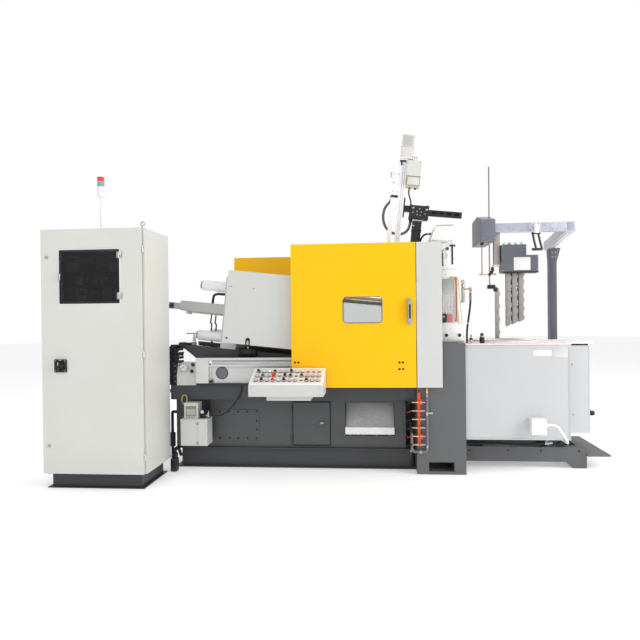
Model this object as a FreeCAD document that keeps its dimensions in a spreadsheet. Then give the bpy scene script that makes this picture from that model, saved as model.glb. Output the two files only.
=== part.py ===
import FreeCAD, Part
import math
import os
import re

import Sketcher

# Hot chamber die casting machine: control cabinet, bed with an inclined toggle clamping unit,
# sliding safety door, injection frame, holding furnace on its trolley, and their fittings.
#
# Frame: +X along the machine from the cabinet to the furnace, +Y away from the operator, +Z up.
# The origin is on the floor, on the machine's centre line, under the middle of the column.
# The clamping unit and what stands on it are drawn along their own axis, which is then tilted.

VEC = FreeCAD.Vector
doc = FreeCAD.newDocument("die_casting_machine")
sheet = doc.addObject("Spreadsheet::Sheet", "sizes")

SIZES = {
    # clamping unit: its axis drops towards the injection end
    "clamp_tilt": 6, "clamp_x": -380, "clamp_z": 1146, "platen_side": 600, "platen_thick": 180,
    "moving_thick": 140, "rear_thick": 130, "daylight": 450, "clamp_length": 1392,
    "tie_pitch": 425, "tie_radius": 32, "fit_gap": 0.3, "nozzle_radius": 60,
    "cap_radius": 43, "cap_length": 216, "cylinder_radius": 38, "cylinder_length": 400, "ram_radius": 18,
    "guard_half": 62, "guard_above": 64, "guard_below": 22, "sheet_thick": 4,
    "link_width": 36, "link_height": 90, "toggle_side": 200, "cross_length": 150,
    # control cabinet
    "cab_left": -2960, "cab_front": -975, "cab_width": 780, "cab_depth": 535, "cab_height": 1800,
    "cab_wall": 4, "cab_rim": 26, "plinth_height": 110, "plinth_flange": 8, "plinth_inset": 20,
    "plinth_web": 26, "leaf_thick": 20, "seal_gap": 8, "leaf_edge": 16, "knuckle_radius": 6,
    "knuckle_length": 32, "hatch_width": 452, "hatch_height": 389, "hatch_left": 146,
    "hatch_base": 1254, "hatch_lap": 10, "hatch_thick": 5, "switch_side": 96, "switch_left": 98,
    "switch_base": 748, "lock_radius": 12, "eye_radius": 14, "eye_wire": 5, "light_radius": 28,
    "light_pole": 8.5, "light_base": 30, "light_height": 434, "lamp_height": 169,
    # bed
    "bed_left": -2187, "bed_half": 253, "panel_thick": 8, "rail_height": 166, "rail_flange": 10,
    "rail_reach": 295, "beam_base": 579, "beam_top": 698, "beam_reach": 400, "beam_left": -2187,
    "deck_thick": 12, "way_thick": 60, "way_outer": 290, "way_left": -2140,
    "hatch_door_left": -1198, "hatch_door_right": -882, "hatch_door_base": 182,
    "hatch_door_top": 543, "hatch_door_lap": 14, "hatch_door_thick": 6, "hatch_knob": 17,
    "barrel_radius": 5,
    "barrel_length": 40,
    "cover_left": -1907, "cover_right": -1484, "cover_base": 222, "cover_top": 475,
    "cover_thick": 6, "chute_left": -760, "chute_right": -360, "chute_base": 271,
    "chute_top": 535, "chute_lip": 69, "niche_left": -268, "niche_top": 542,
    # column and furnace
    "column_half": 190, "column_reach": 445, "column_height": 1025, "fork_width": 196,
    "fork_height": 72, "fork_base": 24,
    "furnace_right": 989, "furnace_front": -420, "furnace_back": 440, "furnace_base": 272,
    "furnace_top": 1012, "lid_thick": 9, "lid_lap": 6, "pot_left": 560, "pot_back": 10,
    "pot_radius": 240, "pot_wall": 20, "pot_depth": 470, "pot_lip": 30,
    "side_left": 1034, "side_right": 1180, "side_front": -275, "side_back": 300,
    "side_base": 301, "side_top": 997, "trolley_half": 161, "trolley_width": 76,
    "trolley_height": 120, "trolley_foot": 51, "wheel_radius": 46, "wheel_width": 40,
    "step_right": 1358, "step_front": -225, "step_back": 537, "step_height": 117,
    "step_thick": 6, "step_leg": 40, "step_skirt": 16, "trolley_toe": 106, "toe_slope": 60,
    # guards
    "guard_front": -508, "guard_thick": 40, "guard_base": 689, "guard_top": 1817,
    "door_left": -1167, "door_right": -193, "fixed_left": -187, "fixed_right": 7,
    "pane_left": -760, "pane_right": -451, "pane_base": 1192, "pane_top": 1399,
    "pane_round": 30, "pane_thick": 4, "track_left": -1956, "track_front": -455,
    "track_back": -425, "track_base": 718, "track_top": 922, "track_slot_base": 868,
    "track_slot_top": 902, "track_web": 10, "end_cap": 104,
    # covers and fittings on the clamping unit
    "cover_start": -1343, "cover_end": -640, "cover_low": -240, "cover_high": 346,
    "cover_front": 450, "cover_depth": 36, "spray_y": -62, "post_left": 100, "post_right": 176,
    "post_half": 38, "block_low": 930, "block_high": 1042, "block_left": 66, "block_right": 222,
    "block_half": 54, "arm_right": 502, "arm_low": 970, "arm_high": 1015, "arm_half": 24,
    "mast_side": 48, "mast_low": 560, "mast_high": 1420, "mast_left": -38, "mast_front": 121,
    "carriage_width": 68, "carriage_low": 1108, "carriage_high": 1320, "drive_height": 198,
    "drive_left": -52, "drive_right": 54, "drive_half": 48, "junction_right": 128,
    "junction_low": 1190, "junction_knee": 1280, "junction_high": 1404,
    # console, lubricator and gauge panel
    "console_left": -1461, "console_right": -897, "console_front": -770, "console_back": -520,
    "console_base": 652, "console_low": 738, "console_high": 845, "arm_base": 616,
    "console_arm_left": -1332, "console_arm_right": -996, "button_radius": 11,
    "button_height": 14, "button_pitch": 43, "row_pitch": 62,
    "tank_left": -2075, "tank_right": -1856, "tank_front": -500, "tank_back": -350,
    "tank_base": 220, "tank_top": 432, "pump_left": -2051, "pump_right": -1937,
    "pump_front": -480, "pump_back": -370, "pump_top": 562,
    "gauge_left": -2127, "gauge_right": -1968, "gauge_front": -420, "gauge_back": -330,
    "gauge_knee": 786, "gauge_top": 885, "gauge_shelf": -380, "gauge_radius": 33,
    # water manifold in front of the column
    "water_x": -175, "water_y": -470, "bar_half": 10, "bar_base": 236, "bar_top": 647,
    "tap_radius": 9, "tap_left": -231, "tap_right": -128, "tap_base": 243, "tap_pitch": 66,
    "water_pipe_x": -105, "water_pipe_radius": 6.5, "water_loop": 174,
    # injection frame over the column
    "frame_left": 12, "frame_half": 300, "frame_plate": 36, "frame_top": 1820,
    "frame_knee": 1620, "frame_knee_x": 160, "frame_foot_x": 198, "frame_round": 60,
    "shelf_base": 1540, "shelf_thick": 40, "shot_x": 98, "shot_radius": 48, "shot_top": 1862,
    "hood_left": -52, "hood_right": 139, "hood_half": 200, "hood_height": 126,
    "valve_base": 1347, "valve_top": 1531, "valve_radius": 20,
    # feeder frame behind the furnace
    "post_x": 1088, "post_side": 58, "post_deep": 100, "post_y": 448, "post_top": 1850,
    "rail_z": 1927, "rail_tall": 75, "rail_deep": 60, "rail_right": 1132, "rail_front": -120,
    "heater_left": 535, "heater_right": 735, "heater_far": 830, "heater_front": -130,
    "heater_back": -20, "heater_base": 1594, "heater_mid": 1736, "heater_top": 1822,
    "strip_width": 44, "strip_gap": 8, "strip_thick": 20, "strip_base": 1146, "strip_step": 19,
    "box_left": 364, "box_right": 475, "box_front": -200, "box_back": 280, "box_base": 1848,
    "box_top": 2025, "float_rod": 6, "float_top": 2478, "rack_top": 1476, "rack_base": 1050,
    "hood_x": 804,
}
for row, (alias, value) in enumerate(SIZES.items(), 1):
    sheet.set(f"A{row}", alias)
    sheet.set(f"B{row}", str(value))
    sheet.setAlias(f"B{row}", alias)
doc.recompute()

WORD = re.compile(r"[a-z][a-z_]+[a-z]")
MIDDLE = {"X": VEC(0, 1, 0), "Y": VEC(1, 0, 0), "Z": VEC(0, 0, 1)}
TURN = {"X": 90, "Y": -90, "Z": 0}


def formula(text):
    """An expression in which every size name refers to the sheet."""
    return WORD.sub(lambda m: f"sizes.{m.group(0)}" if m.group(0) in SIZES else m.group(0), str(text))


def val(text):
    """The value of an expression over the sheet, for shapes that are set directly."""
    found = sheet.evalExpression(formula(text))
    return float(getattr(found, "Value", found))


def bind(obj, **expressions):
    """Tie properties to expressions over the sheet."""
    for prop, text in expressions.items():
        obj.setExpression(prop.replace("_", "."), formula(text))
    return obj


def move(obj, x=0, y=0, z=0):
    """Tie an object's position to expressions."""
    return bind(obj, Placement_Base_x=x, Placement_Base_y=y, Placement_Base_z=z)


def box(name, x, y, z):
    """A block between two expressions along each axis."""
    obj = doc.addObject("Part::Box", name)
    spans = [f"({high}) - ({low})" for low, high in (x, y, z)]
    bind(obj, Length=spans[0], Width=spans[1], Height=spans[2])
    return move(obj, x[0], y[0], z[0])


def rod(name, start, radius, length, axis="Z"):
    """A round bar from a start point along an axis."""
    obj = doc.addObject("Part::Cylinder", name)
    obj.Placement = FreeCAD.Placement(VEC(), FreeCAD.Rotation(MIDDLE[axis], TURN[axis]))
    bind(obj, Radius=radius, Height=length)
    return move(obj, *start)


def ball(name, centre, radius):
    """A sphere about a point."""
    return move(bind(doc.addObject("Part::Sphere", name), Radius=radius), *centre)


def cut(name, base, *tools):
    """A base with tools taken out of it."""
    obj = doc.addObject("Part::Cut", name)
    obj.Base = base
    obj.Tool = tools[0] if len(tools) == 1 else fuse(name + "_tools", *tools)
    return obj


def fuse(name, *parts):
    """Several shapes joined into one solid."""
    obj = doc.addObject("Part::MultiFuse", name)
    obj.Shapes = list(parts)
    return obj


def group(name, *parts):
    """Like pieces that share one node."""
    obj = doc.addObject("Part::Compound", name)
    obj.Links = list(parts)
    return obj


def tilt(obj):
    """Stand an object that is drawn along the clamping axis on that axis."""
    obj.Placement = FreeCAD.Placement(VEC(), FreeCAD.Rotation(VEC(0, 1, 0), 1))
    obj.setExpression("Placement.Rotation.Angle", formula("clamp_tilt"))
    return move(obj, "clamp_x", 0, "clamp_z")


def outline_sketch(body, plane, outline):
    """A closed outline of straight lines on a body's origin plane, each corner held by the sheet."""
    sketch = body.newObject("Sketcher::SketchObject", body.Name + "_outline")
    origin = [o for o in body.Origin.OriginFeatures if o.Role == plane + "_Plane"][0]
    sketch.AttachmentSupport = [(origin, "")]
    sketch.MapMode = "FlatFace"
    corners = [VEC(val(u), val(v), 0) for u, v in outline]
    count = len(corners)
    for i, corner in enumerate(corners):
        sketch.addGeometry(Part.LineSegment(corner, corners[(i + 1) % count]), False)
    for i in range(count):
        sketch.addConstraint(Sketcher.Constraint("Coincident", i, 2, (i + 1) % count, 1))
    for i, (u, v) in enumerate(outline):
        for kind, text, size in (("DistanceX", u, corners[i].x), ("DistanceY", v, corners[i].y)):
            index = sketch.addConstraint(Sketcher.Constraint(kind, -1, 1, i, 1, size))
            sketch.setExpression(f"Constraints[{index}]", formula(text))
    return sketch


def prism(name, plane, outline, low, high):
    """A padded outline: between two distances along the plane's normal, +Z, +X, or -Y for XZ."""
    body = doc.addObject("PartDesign::Body", name)
    sketch = outline_sketch(body, plane, outline)
    sketch.setExpression("AttachmentOffset.Base.z", formula(low))
    pad = body.newObject("PartDesign::Pad", name + "_pad")
    pad.Profile = sketch
    bind(pad, Length=f"({high}) - ({low})")
    return body


def turned(name, outline, x=0, y=0, z=0):
    """A body of revolution about its upright axis from radius and height pairs."""
    body = doc.addObject("PartDesign::Body", name)
    sketch = outline_sketch(body, "XZ", outline)
    spin = body.newObject("PartDesign::Revolution", name + "_turn")
    spin.Profile = sketch
    spin.ReferenceAxis = (sketch, ["V_Axis"])
    spin.Angle = 360
    return move(body, x, y, z)


def round_edges(body, feature, direction, radius):
    """Round a body's edges that run along one direction."""
    doc.recompute()
    names = []
    for i, edge in enumerate(feature.Shape.Edges, 1):
        along = edge.Vertexes[-1].Point - edge.Vertexes[0].Point
        if along.Length > 1e-6 and abs(along.normalize().dot(direction)) > 0.999:
            names.append(f"Edge{i}")
    fillet = body.newObject("PartDesign::Fillet", body.Name + "_round")
    fillet.Base = (feature, names)
    bind(fillet, Radius=radius)
    return body


def pipe(name, points, radius, bend=0.45):
    """A round tube along straight runs joined by tangent arcs as large as the runs allow."""
    nodes = [VEC(*(val(c) for c in point)) for point in points]
    edges = []
    radii = []
    start = nodes[0]
    for before, corner, after in zip(nodes, nodes[1:], nodes[2:]):
        into = (corner - before).normalize()
        away = (after - corner).normalize()
        reach = bend * min((corner - before).Length, (after - corner).Length)
        first = corner - into * reach
        last = corner + away * reach
        half = into.getAngle(away) / 2
        middle = corner + (away - into).normalize() * (reach * math.tan(half / 2))
        edges.append(Part.LineSegment(start, first).toShape())
        edges.append(Part.Arc(first, middle, last).toShape())
        radii.append(round(reach / math.tan(half)))
        start = last
    edges.append(Part.LineSegment(start, nodes[-1]).toShape())
    wire = Part.Wire(edges)
    ring = Part.Wire(Part.makeCircle(val(radius), nodes[0], nodes[1] - nodes[0]))
    obj = doc.addObject("Part::Feature", name)
    obj.Shape = wire.makePipeShell([ring], True, False)
    share = obj.Shape.Volume / (math.pi * val(radius) ** 2 * wire.Length)
    print(f"{name}: length {wire.Length:.0f}, radii {radii}, volume over section x length {share:.3f}")
    return obj


# ---- control cabinet -------------------------------------------------------------------------
CAB = {
    "right": "cab_left + cab_width",
    "back": "cab_front + cab_depth",
    "top": "plinth_height + cab_height",
    "face": "cab_front + leaf_thick + seal_gap",
    "leaf_right": "cab_left + cab_width - leaf_edge",
    "pin_x": "cab_left + cab_width - leaf_edge / 2",
    "pin_y": "cab_front + leaf_thick / 2",
}


def cabinet_shell():
    """The sheet steel cabinet with its front rim, and the fixed knuckles of the three hinges."""
    outer = box("cab_outer", ("cab_left", CAB["right"]), (CAB["face"], CAB["back"]),
                ("plinth_height", CAB["top"]))
    inner = box("cab_inner", ("cab_left + cab_wall", f"{CAB['right']} - cab_wall"),
                (f"{CAB['face']} + cab_wall", f"{CAB['back']} - cab_wall"),
                ("plinth_height + cab_wall", f"{CAB['top']} - cab_wall"))
    mouth = box("cab_mouth", ("cab_left + cab_rim", f"{CAB['right']} - cab_rim"),
                (f"{CAB['face']} - 1", f"{CAB['face']} + 2 * cab_wall"),
                ("plinth_height + cab_rim", f"{CAB['top']} - cab_rim"))
    pieces = [cut("cab_shell", outer, inner, mouth)]
    for i, share in enumerate(HINGE_SHARES):
        base = f"plinth_height + {share} * cab_height"
        pieces.append(rod(f"cab_knuckle{i}", (CAB["pin_x"], CAB["pin_y"], base), "knuckle_radius",
                          "knuckle_length"))
        pieces.append(box(f"cab_knuckle_leaf{i}",
                          (f"{CAB['pin_x']} - knuckle_radius / 2", f"{CAB['pin_x']} + knuckle_radius / 2"),
                          (CAB["pin_y"], f"{CAB['face']} + cab_wall / 2"),
                          (base, f"{base} + knuckle_length")))
    return fuse("control_cabinet", *pieces)


HINGE_SHARES = (0.055, 0.475, 0.9)


def cabinet_door():
    """The door leaf with its window cut-out and the turning knuckles above the fixed ones."""
    leaf = box("leaf", ("cab_left", CAB["leaf_right"]), ("cab_front", "cab_front + leaf_thick"),
               ("plinth_height", CAB["top"]))
    window = box("leaf_window",
                 ("cab_left + hatch_left + hatch_lap", "cab_left + hatch_left + hatch_width - hatch_lap"),
                 ("cab_front - 1", "cab_front + leaf_thick + 1"),
                 ("plinth_height + hatch_base + hatch_lap",
                  "plinth_height + hatch_base + hatch_height - hatch_lap"))
    pieces = [cut("leaf_cut", leaf, window)]
    for i, share in enumerate(HINGE_SHARES):
        base = f"plinth_height + {share} * cab_height + knuckle_length + fit_gap"
        top = f"{base} + knuckle_length / 2"
        pieces.append(rod(f"leaf_knuckle{i}", (CAB["pin_x"], CAB["pin_y"], base), "knuckle_radius",
                          "knuckle_length / 2"))
        pieces.append(box(f"leaf_strap{i}", (f"{CAB['leaf_right']} - 1", CAB["pin_x"]),
                          (f"{CAB['pin_y']} - knuckle_radius / 2", f"{CAB['pin_y']} + knuckle_radius / 2"),
                          (base, top)))
    return fuse("cabinet_door", *pieces)


def door_fittings():
    """The main switch with its rotary handle, and two quarter-turn locks."""
    left = "cab_left + switch_left"
    base = "plinth_height + switch_base"
    middle_x = f"{left} + switch_side / 2"
    middle_z = f"{base} + switch_side / 2"
    plate = box("switch_plate", (left, f"{left} + switch_side"), ("cab_front - 14", "cab_front"),
                (base, f"{base} + switch_side"))
    hub = rod("switch_hub", (middle_x, "cab_front - 31", middle_z), "switch_side * 0.3", 18, "Y")
    handle = box("switch_handle", (f"{middle_x} - 9", f"{middle_x} + 9"),
                 ("cab_front - 46", "cab_front - 30"),
                 (f"{middle_z} - switch_side * 0.28", f"{middle_z} + switch_side * 0.28"))
    locks = []
    for i, height in enumerate(("cab_height - 205", 205)):
        locks.append(rod(f"lock{i}", ("cab_left + 47", "cab_front - 7", f"plinth_height + {height}"),
                         "lock_radius", 7, "Y"))
    return group("door_fittings", fuse("switch", plate, hub, handle), *locks)


def channel_ring(name, outer_x, outer_y, base, top, flange, web):
    """A frame of steel channels with the flanges outwards: low and high of the flange tips."""
    (x_low, x_high), (y_low, y_high) = outer_x, outer_y
    block = box(name + "_block", outer_x, outer_y, (base, top))
    hollow = box(name + "_hollow", (f"{x_low} + {web} + {flange}", f"{x_high} - {web} - {flange}"),
                 (f"{y_low} + {web} + {flange}", f"{y_high} - {web} - {flange}"),
                 (f"{base} - 1", f"{top} + 1"))
    groove = box(name + "_groove", (f"{x_low} - 1", f"{x_high} + 1"), (f"{y_low} - 1", f"{y_high} + 1"),
                 (f"{base} + {flange}", f"{top} - {flange}"))
    core = box(name + "_core", (f"{x_low} + {web}", f"{x_high} - {web}"),
               (f"{y_low} + {web}", f"{y_high} - {web}"), (f"{base}", f"{top}"))
    return cut(name, cut(name + "_flanged", block, cut(name + "_band", groove, core)), hollow)


cabinet_shell()
cabinet_door()
door_fittings()
box("hatch_pane", ("cab_left + hatch_left", "cab_left + hatch_left + hatch_width"),
    ("cab_front - hatch_thick", "cab_front"),
    ("plinth_height + hatch_base", "plinth_height + hatch_base + hatch_height"))
box("mounting_plate", ("cab_left + 60", f"{CAB['right']} - 60"),
    (f"{CAB['back']} - cab_wall - 30", f"{CAB['back']} - cab_wall"),
    ("plinth_height + 80", f"{CAB['top']} - 80"))
channel_ring("cabinet_plinth", ("cab_left + plinth_inset", f"{CAB['right']} - plinth_inset"),
             ("cab_front + plinth_inset", f"{CAB['back']} - plinth_inset"), 0, "plinth_height",
             "plinth_flange", "plinth_web")
turned("stack_light", [(0, 0), ("light_base", 0), ("light_base", 10), (12, 24), ("light_pole", 24),
                       ("light_pole", "light_height - lamp_height"),
                       ("light_radius", "light_height - lamp_height + 12"),
                       ("light_radius", "light_height - 10"), ("light_radius - 8", "light_height"),
                       (0, "light_height")],
       "cab_left + 352", "cab_front + 250", CAB["top"])
eyes = []
for i, (x, y) in enumerate(((f"{CAB['right']} - 22", f"{CAB['face']} + 30"),
                            ("cab_left + 22", f"{CAB['back']} - 30"))):
    shank = rod(f"eye_shank{i}", (x, y, CAB["top"]), "eye_wire + 4", "eye_radius + 4", "Z")
    ring = doc.addObject("Part::Torus", f"eye_ring{i}")
    ring.Placement = FreeCAD.Placement(VEC(), FreeCAD.Rotation(MIDDLE["Y"], 90))
    bind(ring, Radius1="eye_radius", Radius2="eye_wire")
    move(ring, x, y, f"{CAB['top']} + 2 * eye_radius + eye_wire")
    eyes.append(fuse(f"eye{i}", shank, ring))
group("lifting_eyes", *eyes)
NODES = ["control_cabinet", "cabinet_door", "door_fittings", "hatch_pane", "mounting_plate",
         "cabinet_plinth", "stack_light", "lifting_eyes"]

# ---- bed -------------------------------------------------------------------------------------
BED_RIGHT = "-column_half"


def wedge(name, y_low, y_high):
    """One inclined way: level underneath, its top along the clamping axis, under the platens."""
    top = "(clamp_z - ({x} - clamp_x) * tan(clamp_tilt) - platen_side / 2 / cos(clamp_tilt))"
    right = "-column_half - 6"
    tip = top.format(x="way_left")
    outline = [("way_left + 200", "beam_top"), (right, "beam_top"), (right, top.format(x=f"({right})")),
               ("way_left", tip), ("way_left", f"{tip} - 30"), ("way_left + 42", f"{tip} - 42"),
               ("way_left + 150", f"{tip} - 130")]
    return prism(name, "XZ", outline, f"-({y_high})", f"-({y_low})")


def bed_deck():
    """Both upper beams, the deck between them and the inclined ways on it."""
    pieces = [box("deck_plate", ("bed_left", BED_RIGHT), ("-bed_half - 4", "bed_half + 4"),
                  ("beam_top - deck_thick", "beam_top"))]
    for side, low, high in (("front", "-beam_reach", "-bed_half"), ("back", "bed_half", "beam_reach")):
        pieces.append(box(f"beam_{side}", ("beam_left", BED_RIGHT), (low, high), ("beam_base", "beam_top")))
    for side, low, high in (("front", "-way_outer", "way_thick - way_outer"),
                            ("back", "way_outer - way_thick", "way_outer")):
        pieces.append(wedge(f"way_{side}", low, high))
    return fuse("bed_deck", *pieces)


PIN_X = "hatch_door_left - barrel_radius - 2"
PIN_Y = "-bed_half - panel_thick - barrel_radius"
BARRELS = ("hatch_door_base + 40", "hatch_door_top - 40 - barrel_length")


def bed_front():
    """The front panel with its door, chute and hose openings, and the bolted cover."""
    face = "-bed_half - panel_thick"
    panel = box("front_panel", ("bed_left", BED_RIGHT), (face, "-bed_half"), ("rail_height", "beam_base"))
    through = (f"{face} - 1", "-bed_half + 1")
    lap = "hatch_door_lap"
    holes = [
        box("front_door_hole", (f"hatch_door_left + {lap}", f"hatch_door_right - {lap}"), through,
            (f"hatch_door_base + {lap}", f"hatch_door_top - {lap}")),
        box("front_chute_hole", ("chute_left", "chute_right"), through, ("chute_base", "chute_top")),
        box("front_niche", ("niche_left", f"{BED_RIGHT} + 1"), through, ("rail_height - 1", "niche_top")),
    ]
    pieces = [cut("front_cut", panel, *holes)]
    for i, base in enumerate(BARRELS):
        pieces.append(rod(f"front_barrel{i}", (PIN_X, PIN_Y, base), "barrel_radius", "barrel_length"))
        pieces.append(box(f"front_barrel_leaf{i}", (f"{PIN_X} - 2", f"{PIN_X} + 2"), (PIN_Y, f"{face} + 1"),
                          (base, f"{base} + barrel_length")))
    cover = box("front_cover", ("cover_left", "cover_right"), (f"{face} - cover_thick", face),
                ("cover_base", "cover_top"))
    return fuse("bed_front_panel", *pieces, cover)


def bed_back():
    """The back panel and the end panel under the cabinet side."""
    back = box("back_panel", ("bed_left", BED_RIGHT), ("bed_half", "bed_half + panel_thick"),
               ("rail_height", "beam_base"))
    end = box("end_panel", ("bed_left", "bed_left + panel_thick"), ("-bed_half", "bed_half"),
              ("rail_height", "beam_top - deck_thick"))
    return fuse("bed_panels", back, end)


def access_door():
    """The small hinged door in the bed, with its knob."""
    face = "-bed_half - panel_thick - fit_gap"
    leaf = box("access_leaf", ("hatch_door_left", "hatch_door_right"),
               (f"{face} - hatch_door_thick", face), ("hatch_door_base", "hatch_door_top"))
    at_x = "hatch_door_right - 69"
    at_z = "(hatch_door_base + hatch_door_top) / 2 - 12"
    neck = rod("access_neck", (at_x, f"{face} - hatch_door_thick - 15", at_z), "hatch_knob / 2", 16, "Y")
    knob = rod("access_knob", (at_x, f"{face} - hatch_door_thick - 28", at_z), "hatch_knob", 14, "Y")
    pieces = []
    for i, base in enumerate(BARRELS):
        low = f"{base} - fit_gap - barrel_length / 2"
        pieces.append(rod(f"access_barrel{i}", (PIN_X, PIN_Y, low), "barrel_radius", "barrel_length / 2"))
        pieces.append(box(f"access_strap{i}", (PIN_X, "hatch_door_left + 1"),
                          (f"{PIN_Y} - 2", f"{PIN_Y} + 2"), (low, f"{low} + barrel_length / 2")))
    return fuse("access_door", leaf, neck, knob, *pieces)


def discharge_chute():
    """The bright sloping chute plate, which falls from the back to a lip in front of the bed."""
    face = "-bed_half - panel_thick"
    outline = [(f"{face} - 42", "chute_base + 3"), (f"{face} - 42", "chute_base + chute_lip"),
               (f"{face} - 36", "chute_base + chute_lip"), (f"{face} - 36", "chute_base + 9"),
               (f"{face}", "chute_base + 9"), ("-way_thick", "chute_top - 3"),
               ("-way_thick", "chute_top - 9"), (f"{face}", "chute_base + 3")]
    return prism("discharge_chute", "YZ", outline, "chute_left + fit_gap", "chute_right - fit_gap")


channel_ring("bed_plinth", ("bed_left", BED_RIGHT), ("-rail_reach", "rail_reach"), 0, "rail_height",
             "rail_flange", "(rail_reach - bed_half)")
bed_deck()
bed_front()
bed_back()
access_door()
discharge_chute()
column = prism("column_block", "YZ", [("-column_reach", 0), ("column_reach", 0),
                                      ("column_reach", "column_height"),
                                      ("-column_reach", "column_height")],
               "-column_half", "column_half")
fork = box("column_fork", ("-fork_width / 2", "fork_width / 2"), ("-column_reach - 1", "column_reach + 1"),
           ("fork_base", "fork_base + fork_height"))
cut("column", column, fork)
NODES += ["bed_plinth", "bed_deck", "bed_front_panel", "bed_panels", "access_door", "discharge_chute",
          "column"]

# ---- clamping unit, drawn along its axis from the fixed platen's mould face ------------------
HALF = "platen_side / 2"
REAR = "-clamp_length"
MOVING = "-daylight - moving_thick"
CROSS_LEFT = "(rear_thick - clamp_length - daylight - moving_thick) / 2 - cross_length / 2"


def platen(name, left, thick, bore=None):
    """A square platen with four tie bar holes and, where it has one, a central bore."""
    block = box(name + "_block", (left, f"{left} + {thick}"), (f"-{HALF}", HALF), (f"-{HALF}", HALF))
    holes = [rod(name + "_bore", (f"{left} - 1", 0, 0), bore, f"{thick} + 2", "X")] if bore else []
    for i, (y, z) in enumerate(CORNERS):
        holes.append(rod(f"{name}_hole{i}", (f"{left} - 1", y, z), "tie_radius + fit_gap",
                         f"{thick} + 2", "X"))
    return tilt(cut(name, block, *holes))


CORNERS = [(f"{sy} * tie_pitch / 2", f"{sz} * tie_pitch / 2") for sy in (-1, 1) for sz in (-1, 1)]


def tie_bar_caps():
    """The round covers over the tie bars' ends behind the rear platen."""
    caps = []
    for i, (y, z) in enumerate(CORNERS):
        outer = rod(f"cap_outer{i}", (f"{REAR} - cap_length", y, z), "cap_radius",
                    "cap_length - fit_gap", "X")
        inner = rod(f"cap_inner{i}", (f"{REAR} - cap_length / 2", y, z), "tie_radius + fit_gap",
                    "cap_length", "X")
        caps.append(cut(f"cap{i}", outer, inner))
    return tilt(group("tie_bar_caps", *caps))


def toggle_links():
    """The crosshead and the four pairs of toggle links between the rear and moving platens."""
    back = f"{REAR} + rear_thick"
    middle = f"({back} + ({MOVING})) / 2"
    pieces = [box("cross_head", (f"{middle} - cross_length / 2", f"{middle} + cross_length / 2"),
                  ("-toggle_side", "toggle_side"), ("-link_height / 2", "link_height / 2"))]
    for sy in (-1, 1):
        for sz in (-1, 1):
            y = f"{sy} * (toggle_side - link_width)"
            for part, low, high in (("rear", f"{back} + fit_gap", middle), ("front", middle,
                                                                            f"{MOVING} - fit_gap")):
                z = f"{sz} * link_height"
                pieces.append(box(f"link_{part}{sy}{sz}", (low, high),
                                  (f"{y} - link_width / 2", f"{y} + link_width / 2"),
                                  (f"{z} - link_height * 0.55", f"{z} + link_height * 0.55")))
    return tilt(fuse("toggle_links", *pieces))


def tie_bars():
    """The four tie bars, from inside the covers to just past the fixed platen."""
    bars = []
    for i, (y, z) in enumerate(CORNERS):
        bars.append(rod(f"tie_bar{i}", (f"{REAR} - cap_length / 2 + 2", y, z), "tie_radius",
                        "clamp_length + platen_thick + cap_length / 2 + 16", "X"))
    return tilt(group("tie_bars", *bars))


def clamp_cylinder():
    """The closing cylinder on the rear platen, with its flanges."""
    start = f"{REAR} - cylinder_length"
    return tilt(fuse("clamp_cylinder",
                     rod("ram_barrel", (start, 0, 0), "cylinder_radius", "cylinder_length", "X"),
                     rod("ram_head", (start, 0, 0), "cylinder_radius + 12", 36, "X"),
                     rod("ram_flange", (f"{REAR} - 30", 0, 0), "cylinder_radius + 14", "30 - fit_gap", "X"),
                     rod("ram_rod", (f"{REAR} - 40", 0, 0), "ram_radius",
                         f"40 + clamp_length + {CROSS_LEFT} - fit_gap",
                         "X")))


def cylinder_guard():
    """The folded sheet guard over the closing cylinder, with a cross bar at its end."""
    left = f"{REAR} - cylinder_length - 50"
    outer = box("ram_guard_outer", (left, REAR), ("-guard_half", "guard_half"),
                ("-guard_below", "guard_above"))
    inner = box("ram_guard_inner", (f"{left} + 2 * sheet_thick", f"{REAR} + 1"),
                ("sheet_thick - guard_half", "guard_half - sheet_thick"),
                ("-guard_below - 1", "guard_above - sheet_thick"))
    sensor = box("ram_guard_sensor", (f"{left} - 106", f"{left} + 1"),
                 ("12 - guard_half", "guard_half - 12"),
                 ("-14", "guard_above - 26"))
    return tilt(fuse("cylinder_guard", cut("ram_guard_sheet", outer, inner), sensor))


def toggle_cover(side, sign):
    """One folded cover beside the toggle, with the studs that carry it on the rear platen."""
    outer_y = sorted((f"{sign} * cover_front", f"{sign} * (cover_front - cover_depth)"), key=val)
    skin = "sheet_thick"
    outer = box(f"cover_{side}_outer", ("cover_start", "cover_end"), outer_y, ("cover_low", "cover_high"))
    if sign < 0:
        inner_y = (f"{outer_y[0]} + {skin}", f"{outer_y[1]} + 1")
        stud_y = f"{outer_y[0]} + {skin} / 2"
    else:
        inner_y = (f"{outer_y[0]} - 1", f"{outer_y[1]} - {skin}")
        stud_y = HALF
    inner = box(f"cover_{side}_inner", (f"cover_start + {skin}", f"cover_end - {skin}"), inner_y,
                (f"cover_low + {skin}", f"cover_high - {skin}"))
    pieces = [cut(f"cover_{side}_sheet", outer, inner)]
    for i, z in enumerate(("-tie_pitch * 0.4", "tie_pitch * 0.6")):
        stud = doc.addObject("Part::Cylinder", f"cover_{side}_stud{i}")
        stud.Placement = FreeCAD.Placement(VEC(), FreeCAD.Rotation(MIDDLE["Y"], -90))
        bind(stud, Radius=14, Height=f"cover_front - {HALF} - {skin} / 2")
        pieces.append(move(stud, f"{REAR} + rear_thick / 2", stud_y, z))
    return fuse(f"toggle_cover_{side}", *pieces)


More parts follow.
